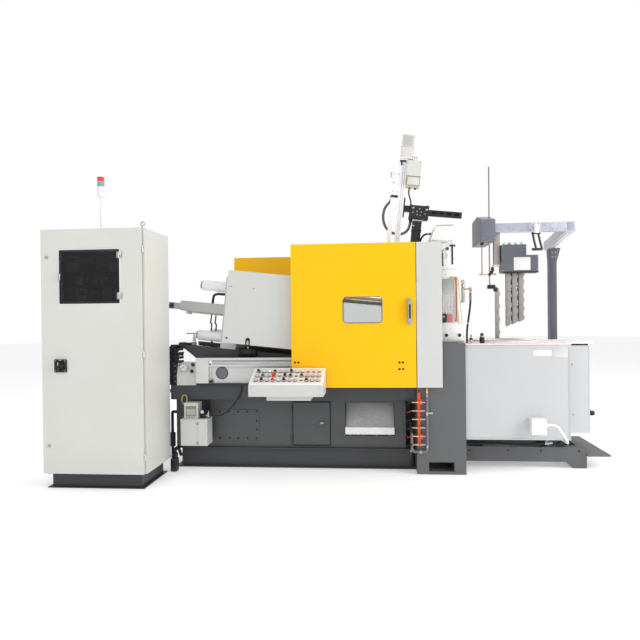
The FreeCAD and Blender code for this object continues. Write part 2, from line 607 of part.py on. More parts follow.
def sprayer_post():
    """The post on the fixed platen, its clamp block with a neck to the mast, and the slotted arm."""
    middle = "spray_y"
    post = box("spray_post", ("post_left", "post_right"),
               (f"{middle} - post_half", f"{middle} + post_half"),
               (HALF, "block_low + 1"))
    block = box("spray_block", ("block_left", "block_right"),
                (f"{middle} - block_half", f"{middle} + block_half"),
                ("block_low", "block_high"))
    neck = box("spray_neck", (f"{MAST_RIGHT} + 10", "block_left + 1"), (f"{middle} - 44", f"{middle} + 6"),
               ("block_high - 56", "block_high - 6"))
    flange = box("spray_flange", (f"{MAST_RIGHT} + fit_gap", f"{MAST_RIGHT} + 12"),
                 ("-mast_front", "mast_side - mast_front"), ("block_low + 8", "block_high + 56"))
    arm = box("spray_arm", ("block_right - 1", "arm_right"),
              (f"{middle} - arm_half", f"{middle} + arm_half"),
              ("arm_low", "arm_high"))
    slots = []
    for i in range(4):
        left = f"block_right + 30 + {i} * 62"
        slots.append(box(f"spray_slot{i}", (left, f"{left} + 38"),
                         (f"{middle} - arm_half - 1", f"{middle} + arm_half + 1"),
                         ("arm_low + 13", "arm_high - 13")))
    return tilt(fuse("sprayer_post", post, block, neck, flange, cut("spray_arm_cut", arm, *slots)))


def sprayer_mast():
    """The guide extrusion under the drive housing, the carriage beside it and its hanging rod."""
    y = ("-mast_front", "mast_side - mast_front")
    middle = "(mast_side / 2 - mast_front)"
    left = "mast_left"
    return tilt(fuse(
        "sprayer_mast",
        box("mast", (left, MAST_RIGHT), y, ("mast_low", "mast_high")),
        box("drive_housing", ("drive_left", "drive_right"),
            (f"{middle} - drive_half", f"{middle} + drive_half"),
            ("mast_high - 1", "mast_high + drive_height")),
        box("drive_bracket", (f"{left} - 14", MAST_RIGHT), (f"{y[0]} - 6", f"{y[1]} + 6"),
            ("mast_high - 24", "mast_high")),
        box("carriage", (f"{left} - carriage_width", f"{left} + 1"), y, ("carriage_low", "carriage_high")),
        box("carriage_head", (f"{left} - carriage_width", f"{left} - 12"), (y[0], f"{y[0]} + 30"),
            ("carriage_high - 1", "carriage_high + 70")),
        box("spray_rod", (f"{left} - carriage_width + 4", f"{left} - carriage_width + 40"),
            (y[0], f"{y[0]} + 18"),
            ("mast_low", "carriage_low + 1"))))


def sprayer_box():
    """The junction box on the mast, sloping back to its cable outlet, with its lifting ring."""
    left = f"{MAST_RIGHT} + fit_gap"
    front = "-mast_front - 30"
    back = "-mast_front + 66"
    case = prism("junction_case", "YZ",
                 [(front, "junction_knee"), (f"{back} - 34", "junction_low"), (back, "junction_low"),
                  (back, "junction_high"), (front, "junction_high")],
                 left, "junction_right")
    ring = doc.addObject("Part::Torus", "junction_ring")
    ring.Placement = FreeCAD.Placement(VEC(), FreeCAD.Rotation(MIDDLE["X"], 90))
    bind(ring, Radius1=18, Radius2=4)
    move(ring, f"({left} + junction_right) / 2", "-mast_front + 10", "junction_high + 18")
    return tilt(fuse("sprayer_junction_box", case, ring))


MAST_RIGHT = "(mast_left + mast_side)"
platen("fixed_platen", 0, "platen_thick", "nozzle_radius")
platen("moving_platen", MOVING, "moving_thick")
platen("rear_platen", REAR, "rear_thick", "ram_radius + fit_gap")
tie_bars()
tie_bar_caps()
toggle_links()
clamp_cylinder()
cylinder_guard()
tilt(group("toggle_covers", toggle_cover("front", -1), toggle_cover("back", 1)))
sprayer_post()
sprayer_mast()
sprayer_box()
NODES += ["fixed_platen", "moving_platen", "rear_platen", "tie_bars", "tie_bar_caps", "toggle_links",
          "clamp_cylinder", "cylinder_guard", "toggle_covers", "sprayer_post", "sprayer_mast",
          "sprayer_junction_box"]

# ---- guards ----------------------------------------------------------------------------------
GUARD_BACK = "guard_front + guard_thick"


def door_track():
    """The rail panel on the front beam: a web with two rails and an end cap."""
    x = ("track_left", f"{BED_RIGHT} - 2")
    slot_low = "track_slot_base"
    return fuse("door_track",
                box("track_foot", x, ("track_back - 1", "20 - beam_reach"),
                    ("beam_top", "track_base + 20")),
                box("track_web", x, ("track_back - track_web", "track_back"), ("track_base", "track_top")),
                box("track_rail_low", x, ("track_front", "track_back"), (f"{slot_low} - 16", slot_low)),
                box("track_rail_top", x, ("track_front", "track_back"), ("track_slot_top", "track_top")),
                box("track_cap", ("track_left", "track_left + end_cap"), ("track_front - 4", "track_back"),
                    ("track_base", "track_top")))


def safety_door():
    """The sliding door panel with its rounded window and its runners in the rails."""
    panel = prism("door_panel", "XZ",
                  [("door_left", "guard_base"), ("door_right", "guard_base"),
                   ("door_right", "guard_top"), ("door_left", "guard_top")],
                  "-guard_front - guard_thick", "-guard_front")
    hole = prism("door_hole", "XZ",
                 [("pane_left", "pane_base"), ("pane_right", "pane_base"),
                  ("pane_right", "pane_top"), ("pane_left", "pane_top")],
                 "-guard_front - guard_thick - 1", "-guard_front + 1")
    round_edges(hole, hole.Tip, VEC(0, 1, 0), "pane_round")
    pieces = [cut("door_leaf", panel, hole)]
    slot = "(track_slot_top - track_slot_base)"
    for i, x in enumerate(("door_left + 120", "(door_left + door_right) / 2", "door_right - 60")):
        height = f"track_slot_base + {slot} / 2"
        pieces.append(rod(f"runner{i}", (x, f"{GUARD_BACK} - 1", height), f"{slot} / 2 - fit_gap",
                          f"track_back - track_web - 5 - ({GUARD_BACK} - 1)", "Y"))
    return fuse("safety_door", *pieces)


def door_handle():
    """The bow handle with its two feet."""
    x = ("door_right - 66", "door_right - 31")
    z = ("pane_base - 13", "pane_top - 16")
    bow = box("handle_bow", x, ("guard_front - 40", "guard_front"), z)
    under = box("handle_under", (f"{x[0]} - 1", f"{x[1]} + 1"), ("guard_front - 28", "guard_front + 1"),
                (f"{z[0]} + 24", f"{z[1]} - 24"))
    return cut("safety_door_handle", bow, under)


def fixed_guard():
    """The fixed front guard beside the door, on spacers from the column."""
    return fuse("fixed_guard",
                box("fixed_panel", ("fixed_left", "fixed_right"), ("guard_front", GUARD_BACK),
                    ("guard_base", "guard_top")),
                box("fixed_spacer", ("fixed_left + 40", "fixed_right - 30"),
                    (f"{GUARD_BACK} - 1", "-column_reach"),
                    ("column_height - 240", "column_height - 40")))


def rear_guard():
    """The guard behind the clamping unit, with a window opening, on the rear beam and column."""
    y = ("-guard_front - guard_thick", "-guard_front")
    x = ("track_left + 106", "fixed_right")
    panel = box("rear_panel", x, y, ("guard_base", "guard_top"))
    hole = box("rear_window", ("pane_left - 54", "pane_right + 13"), (f"{y[0]} - 1", f"{y[1]} + 1"),
               ("pane_base - 14", "pane_top + 31"))
    foot = box("rear_foot", (f"{x[0]} + 20", f"{BED_RIGHT} - 20"), ("beam_reach", f"{y[0]} + 1"),
               ("guard_base - 60", "guard_base + 8"))
    spacer = box("rear_spacer", (f"{BED_RIGHT} + 40", "fixed_right - 30"), ("column_reach", f"{y[0]} + 1"),
                 ("column_height - 240", "column_height - 40"))
    low = box("rear_strap", (f"{x[0]} + 20", f"{BED_RIGHT} - 20"), y, ("guard_base - 60", "guard_base + 1"))
    return fuse("rear_guard", cut("rear_cut", panel, hole), foot, spacer, low)


door_track()
safety_door()
box("safety_door_pane", ("pane_left - 20", "pane_right + 20"), (GUARD_BACK, f"{GUARD_BACK} + pane_thick"),
    ("pane_base - 20", "pane_top + 20"))
door_handle()
fixed_guard()
rear_guard()
NODES += ["door_track", "safety_door", "safety_door_pane", "safety_door_handle", "fixed_guard",
          "rear_guard"]

# ---- console, gauges and lubricator ----------------------------------------------------------
SLOPE = "atan((console_high - console_low) / (console_back - console_front))"


def console():
    """The sloping desk and the arm that carries it from the front beam."""
    desk = prism("console_desk", "YZ",
                 [("console_front", "console_base"), ("console_back", "console_base"),
                  ("console_back", "console_high"), ("console_front", "console_low")],
                 "console_left", "console_right")
    arm = box("console_arm", ("console_arm_left", "console_arm_right"),
              ("console_front + 50", "-beam_reach"), ("arm_base", "console_base + 1"))
    return fuse("console", desk, arm)


def console_controls():
    """Three rows of round controls at right angles to the sloping top, one of them the stop."""
    controls = []
    for r in range(3):
        for c in range(12):
            y = f"console_front + 62 + {r} * row_pitch"
            z = f"console_low + (62 + {r} * row_pitch) * tan({SLOPE})"
            stop = r == 2 and c == 3
            knob = doc.addObject("Part::Cylinder", f"control{r}_{c}")
            knob.Placement = FreeCAD.Placement(VEC(), FreeCAD.Rotation(VEC(1, 0, 0), 1))
            bind(knob, Radius="button_radius + 7" if stop else "button_radius",
                 Height="button_height + 12" if stop else "button_height",
                 Placement_Rotation_Angle=SLOPE)
            controls.append(move(knob, f"console_left + 46 + {c} * button_pitch", y, z))
    return group("console_controls", *controls)


def gauge_panel():
    """The small cabinet with a sloping face that carries the pressure gauge, and two knobs."""
    case = prism("gauge_case", "YZ",
                 [("gauge_front", "beam_top"), ("gauge_back", "beam_top"), ("gauge_back", "gauge_top"),
                  ("gauge_shelf", "gauge_top"), ("gauge_front", "gauge_knee")],
                 "gauge_left", "gauge_right")
    lean = "90 deg - atan((gauge_shelf - gauge_front) / (gauge_top - gauge_knee))"
    pieces = [case]
    for name, share, rise, radius, tall in (("dial", 0.36, 0.5, "gauge_radius", 24),
                                            ("knob0", 0.8, 0.76, 11, 20),
                                            ("knob1", 0.78, 0.24, 11, 20)):
        round_part = doc.addObject("Part::Cylinder", "gauge_" + name)
        round_part.Placement = FreeCAD.Placement(VEC(), FreeCAD.Rotation(VEC(1, 0, 0), 1))
        bind(round_part, Radius=radius, Height=tall, Placement_Rotation_Angle=lean)
        pieces.append(move(round_part, f"gauge_left + {share} * (gauge_right - gauge_left)",
                           f"gauge_front + {rise} * (gauge_shelf - gauge_front)",
                           f"gauge_knee + {rise} * (gauge_top - gauge_knee)"))
    return fuse("gauge_panel", *pieces)


def lubricator():
    """The lubricator's tank on its bracket, with the pump on the tank."""
    tank = box("tank", ("tank_left", "tank_right"), ("tank_front", "tank_back"), ("tank_base", "tank_top"))
    bracket = box("tank_bracket", ("tank_left + 40", "tank_right - 60"),
                  ("tank_back - 1", "-bed_half - panel_thick"), ("tank_base + 30", "tank_top - 30"))
    pump = box("pump", ("pump_left", "pump_right"), ("pump_front", "pump_back"),
               ("tank_top - 1", "pump_top"))
    return fuse("lubricator", tank, bracket, pump)


def valve_stack():
    """The directional valves on the left end of the front beam."""
    y = ("10 - beam_reach", "-way_outer - 14")
    return fuse("valve_stack",
                box("valve_base", ("beam_left - 30", "gauge_left - 12"), y, ("beam_top", "beam_top + 180")),
                box("valve_body", ("beam_left - 22", "gauge_left - 22"), (f"{y[0]} + 12", f"{y[1]} - 12"),
                    ("beam_top + 179", "beam_top + 316")),
                rod("valve_rod", ("beam_left - 60", f"({y[0]} + {y[1]}) / 2", "beam_top + 250"), 12, 150,
                    "X"))


console()
console_controls()
gauge_panel()
lubricator()
valve_stack()
NODES += ["console", "console_controls", "gauge_panel", "lubricator", "valve_stack"]

# ---- water manifold --------------------------------------------------------------------------


def water_manifold():
    """The upright distributor bar, stood off the column on two blocks."""
    bar = box("water_bar", ("water_x - bar_half", "water_x + bar_half"),
              ("water_y - bar_half", "water_y + bar_half"),
              ("bar_base", "bar_top"))
    blocks = [box(f"water_block{i}", ("-column_half", "water_x + 30"),
                  ("water_y + bar_half - 1", "-column_reach"),
                  (z, f"{z} + 46")) for i, z in enumerate(("bar_base + 40", "bar_top - 100"))]
    return fuse("water_manifold", bar, *blocks)


def water_taps():
    """Six brass taps through the distributor bar's front, each a body with a nipple to each side."""
    taps = []
    for i in range(6):
        z = f"tap_base + {i} * tap_pitch"
        y = "water_y - bar_half - tap_radius"
        taps.append(rod(f"tap{i}", ("tap_left", y, z), "tap_radius", "tap_right - tap_left", "X"))
    return group("water_taps", *taps)


water_manifold()
water_taps()
pipe("water_line", [("water_pipe_x", "water_y", "guard_base - fit_gap"), ("water_pipe_x", "water_y",
                                                                          "water_loop"),
                    ("tap_left", "water_y", "water_loop"), ("tap_left", "water_y", "water_loop + 130"),
                    ("tap_left", "-bed_half + 40", "water_loop + 190")], "water_pipe_radius")
NODES += ["water_manifold", "water_taps", "water_line"]

# ---- injection frame -------------------------------------------------------------------------


def injection_frame():
    """Two side plates over the column, a cross wall and the shelf that carries the cylinder."""
    outline = [("frame_left", "column_height"), ("frame_foot_x + 14", "column_height"),
               ("frame_foot_x + 14", "column_height + 32"), ("frame_foot_x", "column_height + 32"),
               ("frame_knee_x", "frame_knee")]
    for angle in (0, 22.5, 45, 67.5, 90):
        outline.append((f"frame_knee_x - frame_round * (1 - cos({angle}))",
                        f"frame_top - frame_round * (1 - sin({angle}))"))
    outline.append(("frame_left", "frame_top"))
    return fuse("injection_frame",
                prism("frame_front", "XZ", outline, "frame_half - frame_plate", "frame_half"),
                prism("frame_back", "XZ", outline, "-frame_half", "frame_plate - frame_half"),
                box("frame_shelf", ("frame_left", "frame_knee_x + 2"),
                    ("-frame_half + 1", "frame_half - 1"),
                    ("shelf_base", "shelf_base + shelf_thick")),
                box("frame_wall", ("frame_left", "frame_left + 20"), ("-frame_half + 1", "frame_half - 1"),
                    ("column_height + 260", "frame_top")))


PIPE_Y = "-frame_half - 8 - fit_gap"
VALVE_Y = "(frame_plate / 2 - frame_half)"
VALVE_X = ("(frame_knee_x + (frame_foot_x - frame_knee_x) * (frame_knee - valve_base)"
           " / (frame_knee - column_height - 32) + valve_radius + fit_gap)")


def shot_cylinder():
    """The upright injection cylinder on its shelf, and its rod."""
    top = "shot_top - shelf_base - shelf_thick"
    body = turned("shot_body", [(0, 0), ("shot_radius + 14", 0), ("shot_radius + 14", 24),
                                ("shot_radius", 24),
                                ("shot_radius", f"{top} - 30"), ("shot_radius + 10", f"{top} - 30"),
                                ("shot_radius + 10", top), (0, top)],
                  "shot_x", 0, "shelf_base + shelf_thick")
    return body


def injection_cover():
    """The sheet cover on top of the injection cylinder."""
    return prism("injection_cover", "XZ",
                 [("hood_left", "shot_top"), ("hood_right", "shot_top"),
                  ("hood_right", "shot_top + hood_height"), ("hood_left + 50", "shot_top + hood_height")],
                 "-hood_half", "hood_half")


injection_frame()
shot_cylinder()
injection_cover()
group("injection_pipes",
      pipe("copper_pipe", [("frame_knee_x - 60", PIPE_Y, 1546), ("frame_knee_x - 14", PIPE_Y, 1546),
                           ("frame_knee_x - 14", PIPE_Y, 1196)], 8),
      fuse("inlet_valve",
           rod("inlet_body", (VALVE_X, VALVE_Y, "valve_base"), "valve_radius", "valve_top - valve_base"),
           rod("inlet_elbow", (VALVE_X, VALVE_Y, "valve_top - 76"), 7, 60, "X"),
           rod("inlet_nut", (f"{VALVE_X} + 58", VALVE_Y, "valve_top - 110"), 10, 48)))
NODES += ["injection_frame", "shot_body", "injection_cover", "injection_pipes"]

# ---- furnace ---------------------------------------------------------------------------------
FURNACE_LEFT = "column_half + 2"
LID_TOP = "furnace_top + lid_thick"


def furnace_body():
    """The furnace casing with the chamber for the pot, and the burner box on its right."""
    case = box("furnace_case", (FURNACE_LEFT, "furnace_right"), ("furnace_front", "furnace_back"),
               ("furnace_base", "furnace_top"))
    chamber = rod("furnace_chamber", ("pot_left", "pot_back", "furnace_top - pot_depth - 60"),
                  "pot_radius + 24", "pot_depth + 61")
    burner = box("burner_box", ("side_left", "side_right"), ("side_front", "side_back"),
                 ("side_base", "side_top"))
    neck = box("burner_neck", ("furnace_right - 1", "side_left + 1"), ("side_front + 60", "side_back - 60"),
               ("side_base + 60", "side_top - 60"))
    stem = rod("burner_stem", ("side_right - 1", -75, 428), 8, 80, "X")
    knob = ball("burner_knob", ("side_right + 86", -75, 428), 19)
    return fuse("furnace_body", cut("furnace_hollow", case, chamber), burner, neck, stem, knob)


def furnace_lid():
    """The insulating top plate, cut for the pot."""
    plate = box("lid_plate", (FURNACE_LEFT, "furnace_right + lid_lap"),
                ("furnace_front - lid_lap", "furnace_back + lid_lap"), ("furnace_top", LID_TOP))
    return cut("furnace_lid", plate, rod("lid_hole", ("pot_left", "pot_back", "furnace_top - 1"),
                                         "pot_radius + 4", "lid_thick + 2"))


def melting_pot():
    """The cast pot, hanging in the lid's hole by its rim."""
    outer = "pot_radius"
    inner = "(pot_radius - pot_wall)"
    return turned("melting_pot", [(0, "-pot_depth"), (f"{outer} * 0.8", "-pot_depth"),
                                  (outer, "-pot_depth * 0.6"),
                                  (outer, 0), (f"{outer} + pot_lip", 0), (f"{outer} + pot_lip", 16),
                                  (inner, 16),
                                  (inner, "-pot_depth * 0.6"), (f"{inner} * 0.8", "pot_wall - pot_depth"),
                                  (0, "pot_wall - pot_depth")],
                  "pot_left", "pot_back", LID_TOP)


def furnace_trolley():
    """Two rail beams with feet and a tie between them, under the furnace's wheels."""
    pieces = []
    top = "trolley_foot + trolley_height"
    for side, sign in (("front", -1), ("back", 1)):
        y = sorted((f"{sign} * (trolley_half + trolley_width / 2)",
                    f"{sign} * (trolley_half - trolley_width / 2)"),
                   key=val)
        pieces.append(box(f"trolley_{side}", ("column_half", "side_right"), y, ("trolley_foot", top)))
        foot = [("side_right - trolley_toe - toe_slope", "trolley_foot + 1"),
                ("side_right - trolley_toe", 0),
                ("side_right", 0), ("side_right", "trolley_foot + 1")]
        pieces.append(prism(f"trolley_{side}_foot", "XZ", foot, f"-({y[1]})", f"-({y[0]})"))
    pieces.append(box("trolley_tie", ("side_right - 60", "side_right"), ("-trolley_half", "trolley_half"),
                      ("trolley_foot", top)))
    return fuse("furnace_trolley", *pieces)


def furnace_wheels():
    """Four flanged wheels in brackets between the furnace and the rail beams."""
    sets = []
    top = "trolley_foot + trolley_height"
    for sign in (-1, 1):
        for i, x in enumerate(("column_half + 150", "furnace_right - 150")):
            y = f"{sign} * trolley_half - wheel_width / 2"
            centre = f"{top} + fit_gap + wheel_radius"
            disc = rod(f"wheel{sign}{i}", (x, y, centre), "wheel_radius", "wheel_width", "Y")
            pieces = [disc]
            for j, shift in enumerate(("-8", "wheel_width")):
                pieces.append(box(f"wheel_cheek{sign}{i}{j}", (f"{x} - 40", f"{x} + 40"),
                                  (f"{y} + {shift}", f"{y} + {shift} + 8"),
                                  (f"{centre} - 12", "furnace_base")))
            sets.append(fuse(f"wheel_set{sign}{i}", *pieces))
    return group("furnace_wheels", *sets)


def step_plate():
    """The chequer plate step beside the burner box, folded down all round, on two legs at its back."""
    x = ("side_right + fit_gap", "step_right")
    top = "step_height"
    under = "step_height - step_thick"
    plate = box("step_top", x, ("step_front", "step_back"), (under, top))
    skirt = cut("step_skirt", box("step_skirt_outer", x, ("step_front", "step_back"),
                                  (f"{top} - step_skirt", top)),
                box("step_skirt_inner", (f"{x[0]} + step_thick", f"{x[1]} - step_thick"),
                    ("step_front + step_thick", "step_back - step_thick"),
                    (f"{top} - step_skirt - 1", f"{top} + 1")))
    legs = []
    for i, lx in enumerate((x[0], f"{x[1]} - step_leg")):
        legs.append(box(f"step_leg{i}", (lx, f"{lx} + step_leg"), ("step_back - step_leg", "step_back"),
                        (0, f"{under} + 1")))
    return fuse("step_plate", plate, skirt, *legs)


def conduit_box():
    """The terminal box on the furnace front with its conduit to the right."""
    case = box("terminal_case", ("furnace_right - 314", "furnace_right - 206"),
               ("furnace_front - 78", "furnace_front"),
               ("furnace_base + 56", "furnace_base + 176"))
    level = "furnace_front - 40"
    run = pipe("terminal_run", [("furnace_right - 207", level, "furnace_base + 125"),
                                ("furnace_right - 118", level, "furnace_base + 125"),
                                ("furnace_right - 20", level, "furnace_base - 28"),
                                ("furnace_right - 20", "side_front + 40", "furnace_base - 28")], 9)
    return fuse("terminal_box", case, run)


furnace_body()
furnace_lid()
melting_pot()
furnace_trolley()
furnace_wheels()
step_plate()
conduit_box()
NODES += ["furnace_body", "furnace_lid", "melting_pot", "furnace_trolley", "furnace_wheels",
          "step_plate", "terminal_box"]

# ---- feeder frame ----------------------------------------------------------------------------


def feeder_frame():
    """The post behind the furnace with its flared head, the falling arm and the beam over the pot."""
    right = "post_x + post_side"
    post = prism("feed_post", "XZ",
                 [("post_x", 0), (right, 0), (right, "post_top - 132"), (f"{right} + 36", "post_top"),
                  ("post_x - 36", "post_top"), ("post_x", "post_top - 132")],
                 "-post_y - post_deep", "-post_y")
    front = "rail_front"
    arm = prism("feed_arm", "YZ",
                [(front, "rail_z"), ("post_y + post_deep", "post_top - 12"),
                 ("post_y + post_deep", "post_top + rail_tall - 12"), (front, "rail_z + rail_tall")],
                "rail_right - 76", "rail_right")
    beam = box("feed_rail", ("box_right + fit_gap", "rail_right - 75"), (front, f"{front} + rail_deep"),
               ("rail_z", "rail_z + rail_tall"))
    return fuse("feeder_frame", post, arm, beam)


def heater_box():
    """The heater's terminal housing on the angled hanger that holds it under the beam."""
    y = ("heater_front", "heater_back")
    shelf = "heater_base + 66"
    hanger = ("rail_front + 36", "rail_front + 44")
    return fuse("heater_box",
                box("heater_tall", ("heater_left", "heater_right"), y, ("heater_base", "heater_top")),
                box("heater_low", ("heater_right - 1", "heater_far"), y, ("heater_base", "heater_mid")),
                box("heater_hanger", ("box_right + fit_gap", "heater_left - 2"), hanger, (shelf, "rail_z")),
                box("heater_shelf", ("heater_left - 66", "heater_left + 1"), hanger,
                    (f"{shelf} - 10", shelf)),
                box("heater_lug", ("heater_left - 3", "heater_left + 1"), hanger, (shelf, "heater_top")))


def heater_elements():
    """Three flat heater bars hanging under their housing, each end cut on a slant."""
    bars = []
    for i in range(3):
        left = f"heater_left + 43 + {i} * (strip_width + strip_gap)"
        y = "-(heater_front + heater_back) / 2"
        low = f"strip_base + {i} * strip_step"
        bars.append(prism(f"element{i}", "XZ",
                          [(left, low), (f"{left} + strip_width", f"{low} + strip_step"),
                           (f"{left} + strip_width", "heater_base - fit_gap"),
                           (left, "heater_base - fit_gap")],
                          f"{y} - strip_thick / 2", f"{y} + strip_thick / 2"))
    return group("heater_elements", *bars)


def feeder_box():
    """The level control box at the beam's left end, its float rod, lever and hanging rack."""
    case = prism("level_case", "YZ",
                 [("box_front", "box_base"), ("box_back", "box_base"), ("box_back", "box_top + 38"),
                  ("(box_front + box_back) / 2", "box_top + 58"), ("box_front", "box_top")],
                 "box_left", "box_right")
    stem_x = "box_right - 30"
    y = "rail_front + 30"
    lever_z = "rack_top + 106"
    return fuse("feeder_box", case,
                rod("float_stem", (stem_x, y, "rack_top - 10"), "float_rod", "float_top - rack_top + 10"),
                box("float_clamp", (f"{stem_x} - 10", f"{stem_x} + 44"), (f"{y} - 16", f"{y} + 16"),
                    ("rack_top - 16", "rack_top + 26")),
                box("float_rack", (f"{stem_x} + 40", f"{stem_x} + 84"), (f"{y} - 6", f"{y} + 6"),
                    ("rack_base", "rack_top")),
                rod("lever_rod", ("box_left + 20", y, lever_z), 5, "box_base + 1 - rack_top - 106"),
                rod("lever", ("box_left + 8", y, lever_z), 6, "box_right + 24 - box_left - 8", "X"))


def feeder_hood():
    """The small fume hood on two straps under the elbow on the beam."""
    middle = "rail_front - 46"
    x = "hood_x"
    elbow = pipe("fume_elbow", [(x, "rail_front - fit_gap", "rail_z + 40"), (x, middle, "rail_z + 40"),
                                (x, middle, "rail_z - 14")], 20)
    pieces = [box("fume_plate", (f"{x} - 56", f"{x} + 56"), (f"{middle} - 74", f"{middle} + 26"),
                  ("rail_z - 160", "rail_z - 148"))]
    for i, shift in enumerate((-34, 14)):
        pieces.append(box(f"fume_strap{i}", (f"{x} + {shift}", f"{x} + {shift} + 20"),
                          (f"{middle} - 4", f"{middle} + 4"), ("rail_z - 149", "rail_z - 14")))
    pieces.append(box("fume_collar", (f"{x} - 34", f"{x} + 34"), (f"{middle} - 20", f"{middle} + 20"),
                      ("rail_z - 20", "rail_z - 13")))
    return fuse("feeder_hood", elbow, *pieces)


feeder_frame()
heater_box()
heater_elements()
feeder_box()
feeder_hood()
NODES += ["feeder_frame", "heater_box", "heater_elements", "feeder_box", "feeder_hood"]

# ---- cables and hoses that the machine holds from end to end ---------------------------------
CAP_EDGE = "(tie_pitch / 2 + cap_radius + fit_gap)"
CAP_TOP = "(cap_radius + fit_gap - tie_pitch / 2)"
BACK = "(-clamp_length - fit_gap)"


def clamp_hoses():
    """The four hoses at the rear platen, drawn along the clamping axis."""
    foot = "(-clamp_length - 70)"
    deck = f"((beam_top + fit_gap - clamp_z + {foot} * sin(clamp_tilt)) / cos(clamp_tilt))"
    top = "(guard_above + fit_gap)"
    low = "(-cylinder_radius - fit_gap)"
    tie = "(-tie_pitch / 2)"
    hoses = [pipe("ram_hose", [(BACK, -150, 150), (f"{BACK} - 52", -150, 150), (f"{BACK} - 110", -118, 150),
                               (f"{BACK} - 152", -70, 138), (f"{BACK} - 168", -40, f"{top} + 44"),
                               (f"{BACK} - 168", -40, top)], 11)]
    for i in range(2):
        x = f"({BACK} - 180 + {i} * 40)"
        hoses.append(pipe(f"cap_hose{i}", [(x, 0, low), (x, 0, f"{low} - 42"), (f"{x} + 8", -40, -108),
                                           (f"{x} + 30", -100, -112), (f"{x} + 54", -165, -108),
                                           (f"{x} + 68", tie, f"{CAP_TOP} + 43"),
                                           (f"{x} + 68", tie, CAP_TOP)], 6))
    hoses.append(pipe("drain_hose", [(f"{BACK} - 98", tie, f"-{CAP_EDGE}"), (f"{BACK} - 98", tie,
                                                                             f"-{CAP_EDGE} - 70"),
                                     (f"{BACK} - 92", f"{tie} + 8", f"-{CAP_EDGE} - 130"),
                                     (f"{foot} - 70 * sin(clamp_tilt)", f"{tie} + 14",
                                      f"{deck} + 70 * cos(clamp_tilt)"),
                                     (foot, f"{tie} + 14", deck)], 9))
    return hoses


def sprayer_hose():
    """The loop that hangs from the carriage, under the mast and up into the clamp block."""
    left = "(mast_left - carriage_width)"
    start = f"{left} + 14"
    end = "block_left + 17"
    y = "spray_y + 4"
    return pipe("sprayer_loop", [(start, -88, "carriage_low - fit_gap"), (start, -88, "carriage_low - 40"),
                                 (f"{left} - 34", -76, 1020), (f"{left} - 48", -66, 945),
                                 (f"{left} - 32", y, 872),
                                 (f"{left} + 10", y, 818), (-32, y, 793), (28, y, 800), (70, y, 836),
                                 (end, y, "block_low - 40"), (end, y, "block_low - fit_gap")], 12)


def junction_cable():
    """The cable from the junction box down into the clamp block."""
    return pipe("junction_cable", [(f"{MAST_RIGHT} + 34", -72, "junction_low - fit_gap"),
                                   (f"{MAST_RIGHT} + 34", -72, "junction_low - 38"),
                                   (f"{MAST_RIGHT} + 46", -70, "block_high + 72"),
                                   (f"{MAST_RIGHT} + 62", -68, "block_high + 38"),
                                   (f"{MAST_RIGHT} + 62", -68, "block_high + fit_gap")], 6)


def oil_line():
    """The lubricator's line under the beam, up into the foot of the door track."""
    rail_y = "-beam_reach - 13"
    start_y = "pump_front + 50"
    return pipe("oil_line", [("pump_right + fit_gap", start_y, 470), ("pump_right + 50", start_y, 470),
                             ("pump_right + 120", "pump_front + 52", 446),
                             ("pump_right + 200", "pump_front + 56", 462),
                             ("pump_right + 275", "pump_front + 60", 530),
                             ("pump_right + 330", "pump_front + 65", 610),
                             ("pump_right + 345", rail_y, "beam_top - 40"),
                             ("pump_right + 345", rail_y, "beam_top - fit_gap")],
                5)


def melt_line():
    """The cooling line that falls from the valve to the furnace lid."""
    start = f"{VALVE_X} + 58"
    end = f"{VALVE_X} + 28"
    return pipe("melt_line", [(start, VALVE_Y, "valve_top - 110 - fit_gap"), (start, VALVE_Y,
                                                                              "valve_top - 190"),
                              (f"{VALVE_X} + 44", VALVE_Y, "valve_top - 300"),
                              (end, VALVE_Y, "valve_top - 400"),
                              (end, VALVE_Y, f"{LID_TOP} + fit_gap")], 8)


group("black_hoses", oil_line(), melt_line(), *[tilt(hose) for hose in (*clamp_hoses(), junction_cable())])
tilt(sprayer_hose())
NODES += ["black_hoses", "sprayer_loop"]


def export():
    """Check every object and shape, then write one file for each node."""
    doc.recompute()
    for obj in doc.Objects:
        if "Invalid" in obj.State or "Error" in obj.State:
            raise RuntimeError(f"{obj.Name} failed: {obj.State}")
    os.makedirs("parts", exist_ok=True)
    for name in NODES:
        shape = doc.getObject(name).Shape
        if shape.isNull() or not shape.isValid() or not shape.Solids:
            raise RuntimeError(f"{name} has no valid solid")
        doc.getObject(name).Label = name
    for name in NODES:
        doc.getObject(name).Shape.exportStep(f"parts/{name}.step")
    print(len(NODES), "nodes written")


export()
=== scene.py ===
"""Looks of a hot chamber die casting machine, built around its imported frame."""
import logging
import math
from collections.abc import Iterable
from dataclasses import dataclass
from enum import Enum
from itertools import product

import bmesh
import bpy
from mathutils import Matrix, Vector


